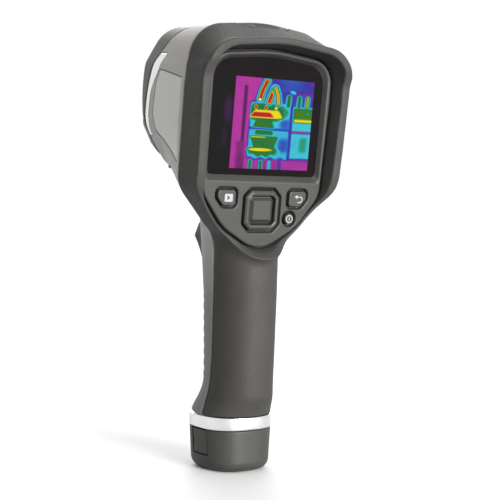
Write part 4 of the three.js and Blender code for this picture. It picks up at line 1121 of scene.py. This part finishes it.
def battery_base():
    grid = Grid((0, 21), (-23, 23), (-0.5, 35.5), 0.3, world=True)
    body = meet(base_field(grid), np.maximum(-grid.z, grid.z - BASE_HEIGHT), 0.5)
    body = cut(body, latch_field(grid, 0.45), 0.3)
    stem = np.maximum(rounded_box_field(grid.x, grid.y + 5.2, 9.5, 10.4, 4), np.abs(grid.z - 28.2) - 6.3)
    return sculpted("battery_base_shell", grid, join(body, stem), 0.4)


def latch(name, side):
    grid = Grid((15, 21), (-8.4, 8.4), (8, 22.6), 0.16, mirrored=False, world=True)
    scoop = 0.35 * np.cos(np.clip((grid.z - 15.3) / 6.3, -1, 1) * math.pi / 2)
    body = meet(latch_field(grid), base_field(grid) + 0.25 + scoop, 0.5)
    return sculpted(name, grid, meet(body, 16 - grid.ax), 0.4, side)


# The upper half of the ring's section, from the inside out: (inset, depth below its edge).
RING_EDGE = [(5.2, 0.0), (0.9, 0.0), (0.45, 0.05), (0.15, 0.25), (0.02, 0.6), (-0.08, 1.6)]
RING_PROFILE = [*[(inset, RING_TOP - depth) for inset, depth in RING_EDGE],
                (-0.12, (RING_TOP + RING_BOTTOM) / 2),
                *[(inset, RING_BOTTOM + depth) for inset, depth in reversed(RING_EDGE)]]

piece(connector_cover(), "cover", "bumper_rubber", "connector_cover")
piece(trigger(), "trigger", "trigger_plastic", "trigger")
piece(hoop("ring_band", RING_PROFILE), "housing", "bright_trim", "grip_ring")
piece(battery_base(), "battery", "base_plastic", "battery_base")
for label, side in (("left", -1), ("right", 1)):
    piece(latch(f"latch_tab_{label}", side), f"latch_tab_{label}", "base_plastic", f"latch_{label}")

# ---------------------------------------------------------------------------
# Optics
# ---------------------------------------------------------------------------
def dome(radius, f, height, steps):
    """A lens face from its rim to its middle, for the end of a profile."""
    angles = [k * math.pi / (2 * steps) for k in range(steps)]
    arc = [(radius * math.cos(angle), f + height * math.sin(angle)) for angle in angles]
    return [*arc, (0.01, f + height)]


HOOD = [(8.4, 102), (8.4, 100.3), (12.2, 100.3), (12.2, 110.5),
        (10.8, 114), (9.8, 114), (8.4, 108), (8.4, 102)]
LENS = [(LENS_RADIUS, 88), (LENS_RADIUS, 91.4), (6.4, 91.9), *dome(6.2, 92, 1.8, 12)]
LENS_RING = [(7.1, 92), (9.6, 91.9), (9.6, 93.6), (8, 94.2), (7.1, 94.2), (7.1, 92)]
CAMERA_TUBE = [(2.6, 90), (2.6, 88), (3.5, 88), (3.5, 100.6), (2.6, 100.6), (2.6, 90)]
CAMERA_WINDOW = [(2.3, 96), (2.3, 98.6), *dome(2.2, 98.6, 0.7, 10)]
for name, profile, v, slot, node in (
        ("lens_hood", softened(HOOD, 0.6), LENS_V, "bumper_rubber", "lens_bezel"),
        ("infrared_lens", LENS, LENS_V, "infrared_glass", "ir_lens"),
        ("lens_ring", softened(LENS_RING, 0.25), LENS_V, "steel", "lens_retainer"),
        ("camera_tube", softened(CAMERA_TUBE, 0.25), CAMERA_V, "dark_metal", "camera_barrel"),
        ("camera_window", CAMERA_WINDOW, CAMERA_V, "clear_glass", "camera_lens")):
    piece(lathe(name, profile, v), "housing", slot, node)

# ---------------------------------------------------------------------------
# CAD nodes that stay: a finish, and a small bevel on their edges
# ---------------------------------------------------------------------------
FINISH = {
    "steel": ("chassis_plate", "connector", "cover_pin", "trigger_pin", "sensor_core",
              "housing_screw_lower", "housing_screw_left", "housing_screw_right"),
    "circuit_board": ("main_board", "sensor_board", "keypad_board"),
    "dark_plastic": ("lcd_module", "keypad_membrane", "nav_carrier", "connector_tray", "battery_bay",
                     "battery_pack", "lens_shutter", "shutter_lever"),
    "dark_metal": ("lens_barrel",),
    "brass": ("battery_contact_left", "battery_contact_right"),
}
for finish, names in FINISH.items():
    for name in names:
        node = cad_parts[name]
        for place in node.material_slots:
            place.link = "OBJECT"
            place.material = M[finish]
        bevel = node.modifiers.new("edge", "BEVEL")
        bevel.width = 0.25 * MM
        bevel.segments = 2
        bevel.limit_method = "ANGLE"
        bevel.angle_limit = math.radians(40)

# ---------------------------------------------------------------------------
# Floor, light and camera
# ---------------------------------------------------------------------------
FLOOR_REACH = 6000
floor_corners = [(-FLOOR_REACH, -FLOOR_REACH, 0), (FLOOR_REACH, -FLOOR_REACH, 0),
                 (FLOOR_REACH, FLOOR_REACH, 0), (-FLOOR_REACH, FLOOR_REACH, 0)]
floor = mesh_object("floor", floor_corners, np.array([(0, 1, 2, 3)]))
floor_look = Nodes("floor_white")
floor_look.feed(Base_Color=(0.60, 0.60, 0.60, 1), Roughness=0.6, Specular_IOR_Level=0.2)
floor.data.materials.append(floor_look.material)

scene = bpy.context.scene
world = bpy.data.worlds.new("studio")
world.use_nodes = True
world.node_tree.nodes["Background"].inputs["Color"].default_value = (1, 1, 1, 1)
world.node_tree.nodes["Background"].inputs["Strength"].default_value = 1.0
scene.world = world
scene.view_settings.view_transform = "Standard"


def sun(name, direction, spread, strength):
    """A large soft light far away that shines in that direction; spread is in degrees."""
    data = bpy.data.lights.new(name, "SUN")
    data.energy = strength
    data.angle = math.radians(spread)
    light = bpy.data.objects.new(name, data)
    light.rotation_euler = Vector(direction).to_track_quat("-Z", "Y").to_euler()
    scene.collection.objects.link(light)


sun("key_light", (-0.10, 1, -0.11), 30, 12.5)
sun("front_light", (-0.5, -0.9, -0.6), 50, 1.6)

CAMERA_PLACE = Vector((-0.3524, -0.5479, 0.1362))
CAMERA_RIGHT = Vector((0.8323, -0.5543, 0.0082))
CAMERA_UP = Vector((0.0068, 0.0251, 0.9997))
SENSOR_WIDTH, FOCAL_LENGTH = 36, 84.63
lens = bpy.data.cameras.new("view")
lens.sensor_width = SENSOR_WIDTH
lens.lens = FOCAL_LENGTH
camera = bpy.data.objects.new("view", lens)
right = CAMERA_RIGHT.normalized()
back = right.cross(CAMERA_UP).normalized()
up = back.cross(right)
camera.matrix_world = Matrix.Translation(CAMERA_PLACE) @ Matrix((right, up, back)).transposed().to_4x4()
scene.collection.objects.link(camera)
scene.camera = camera
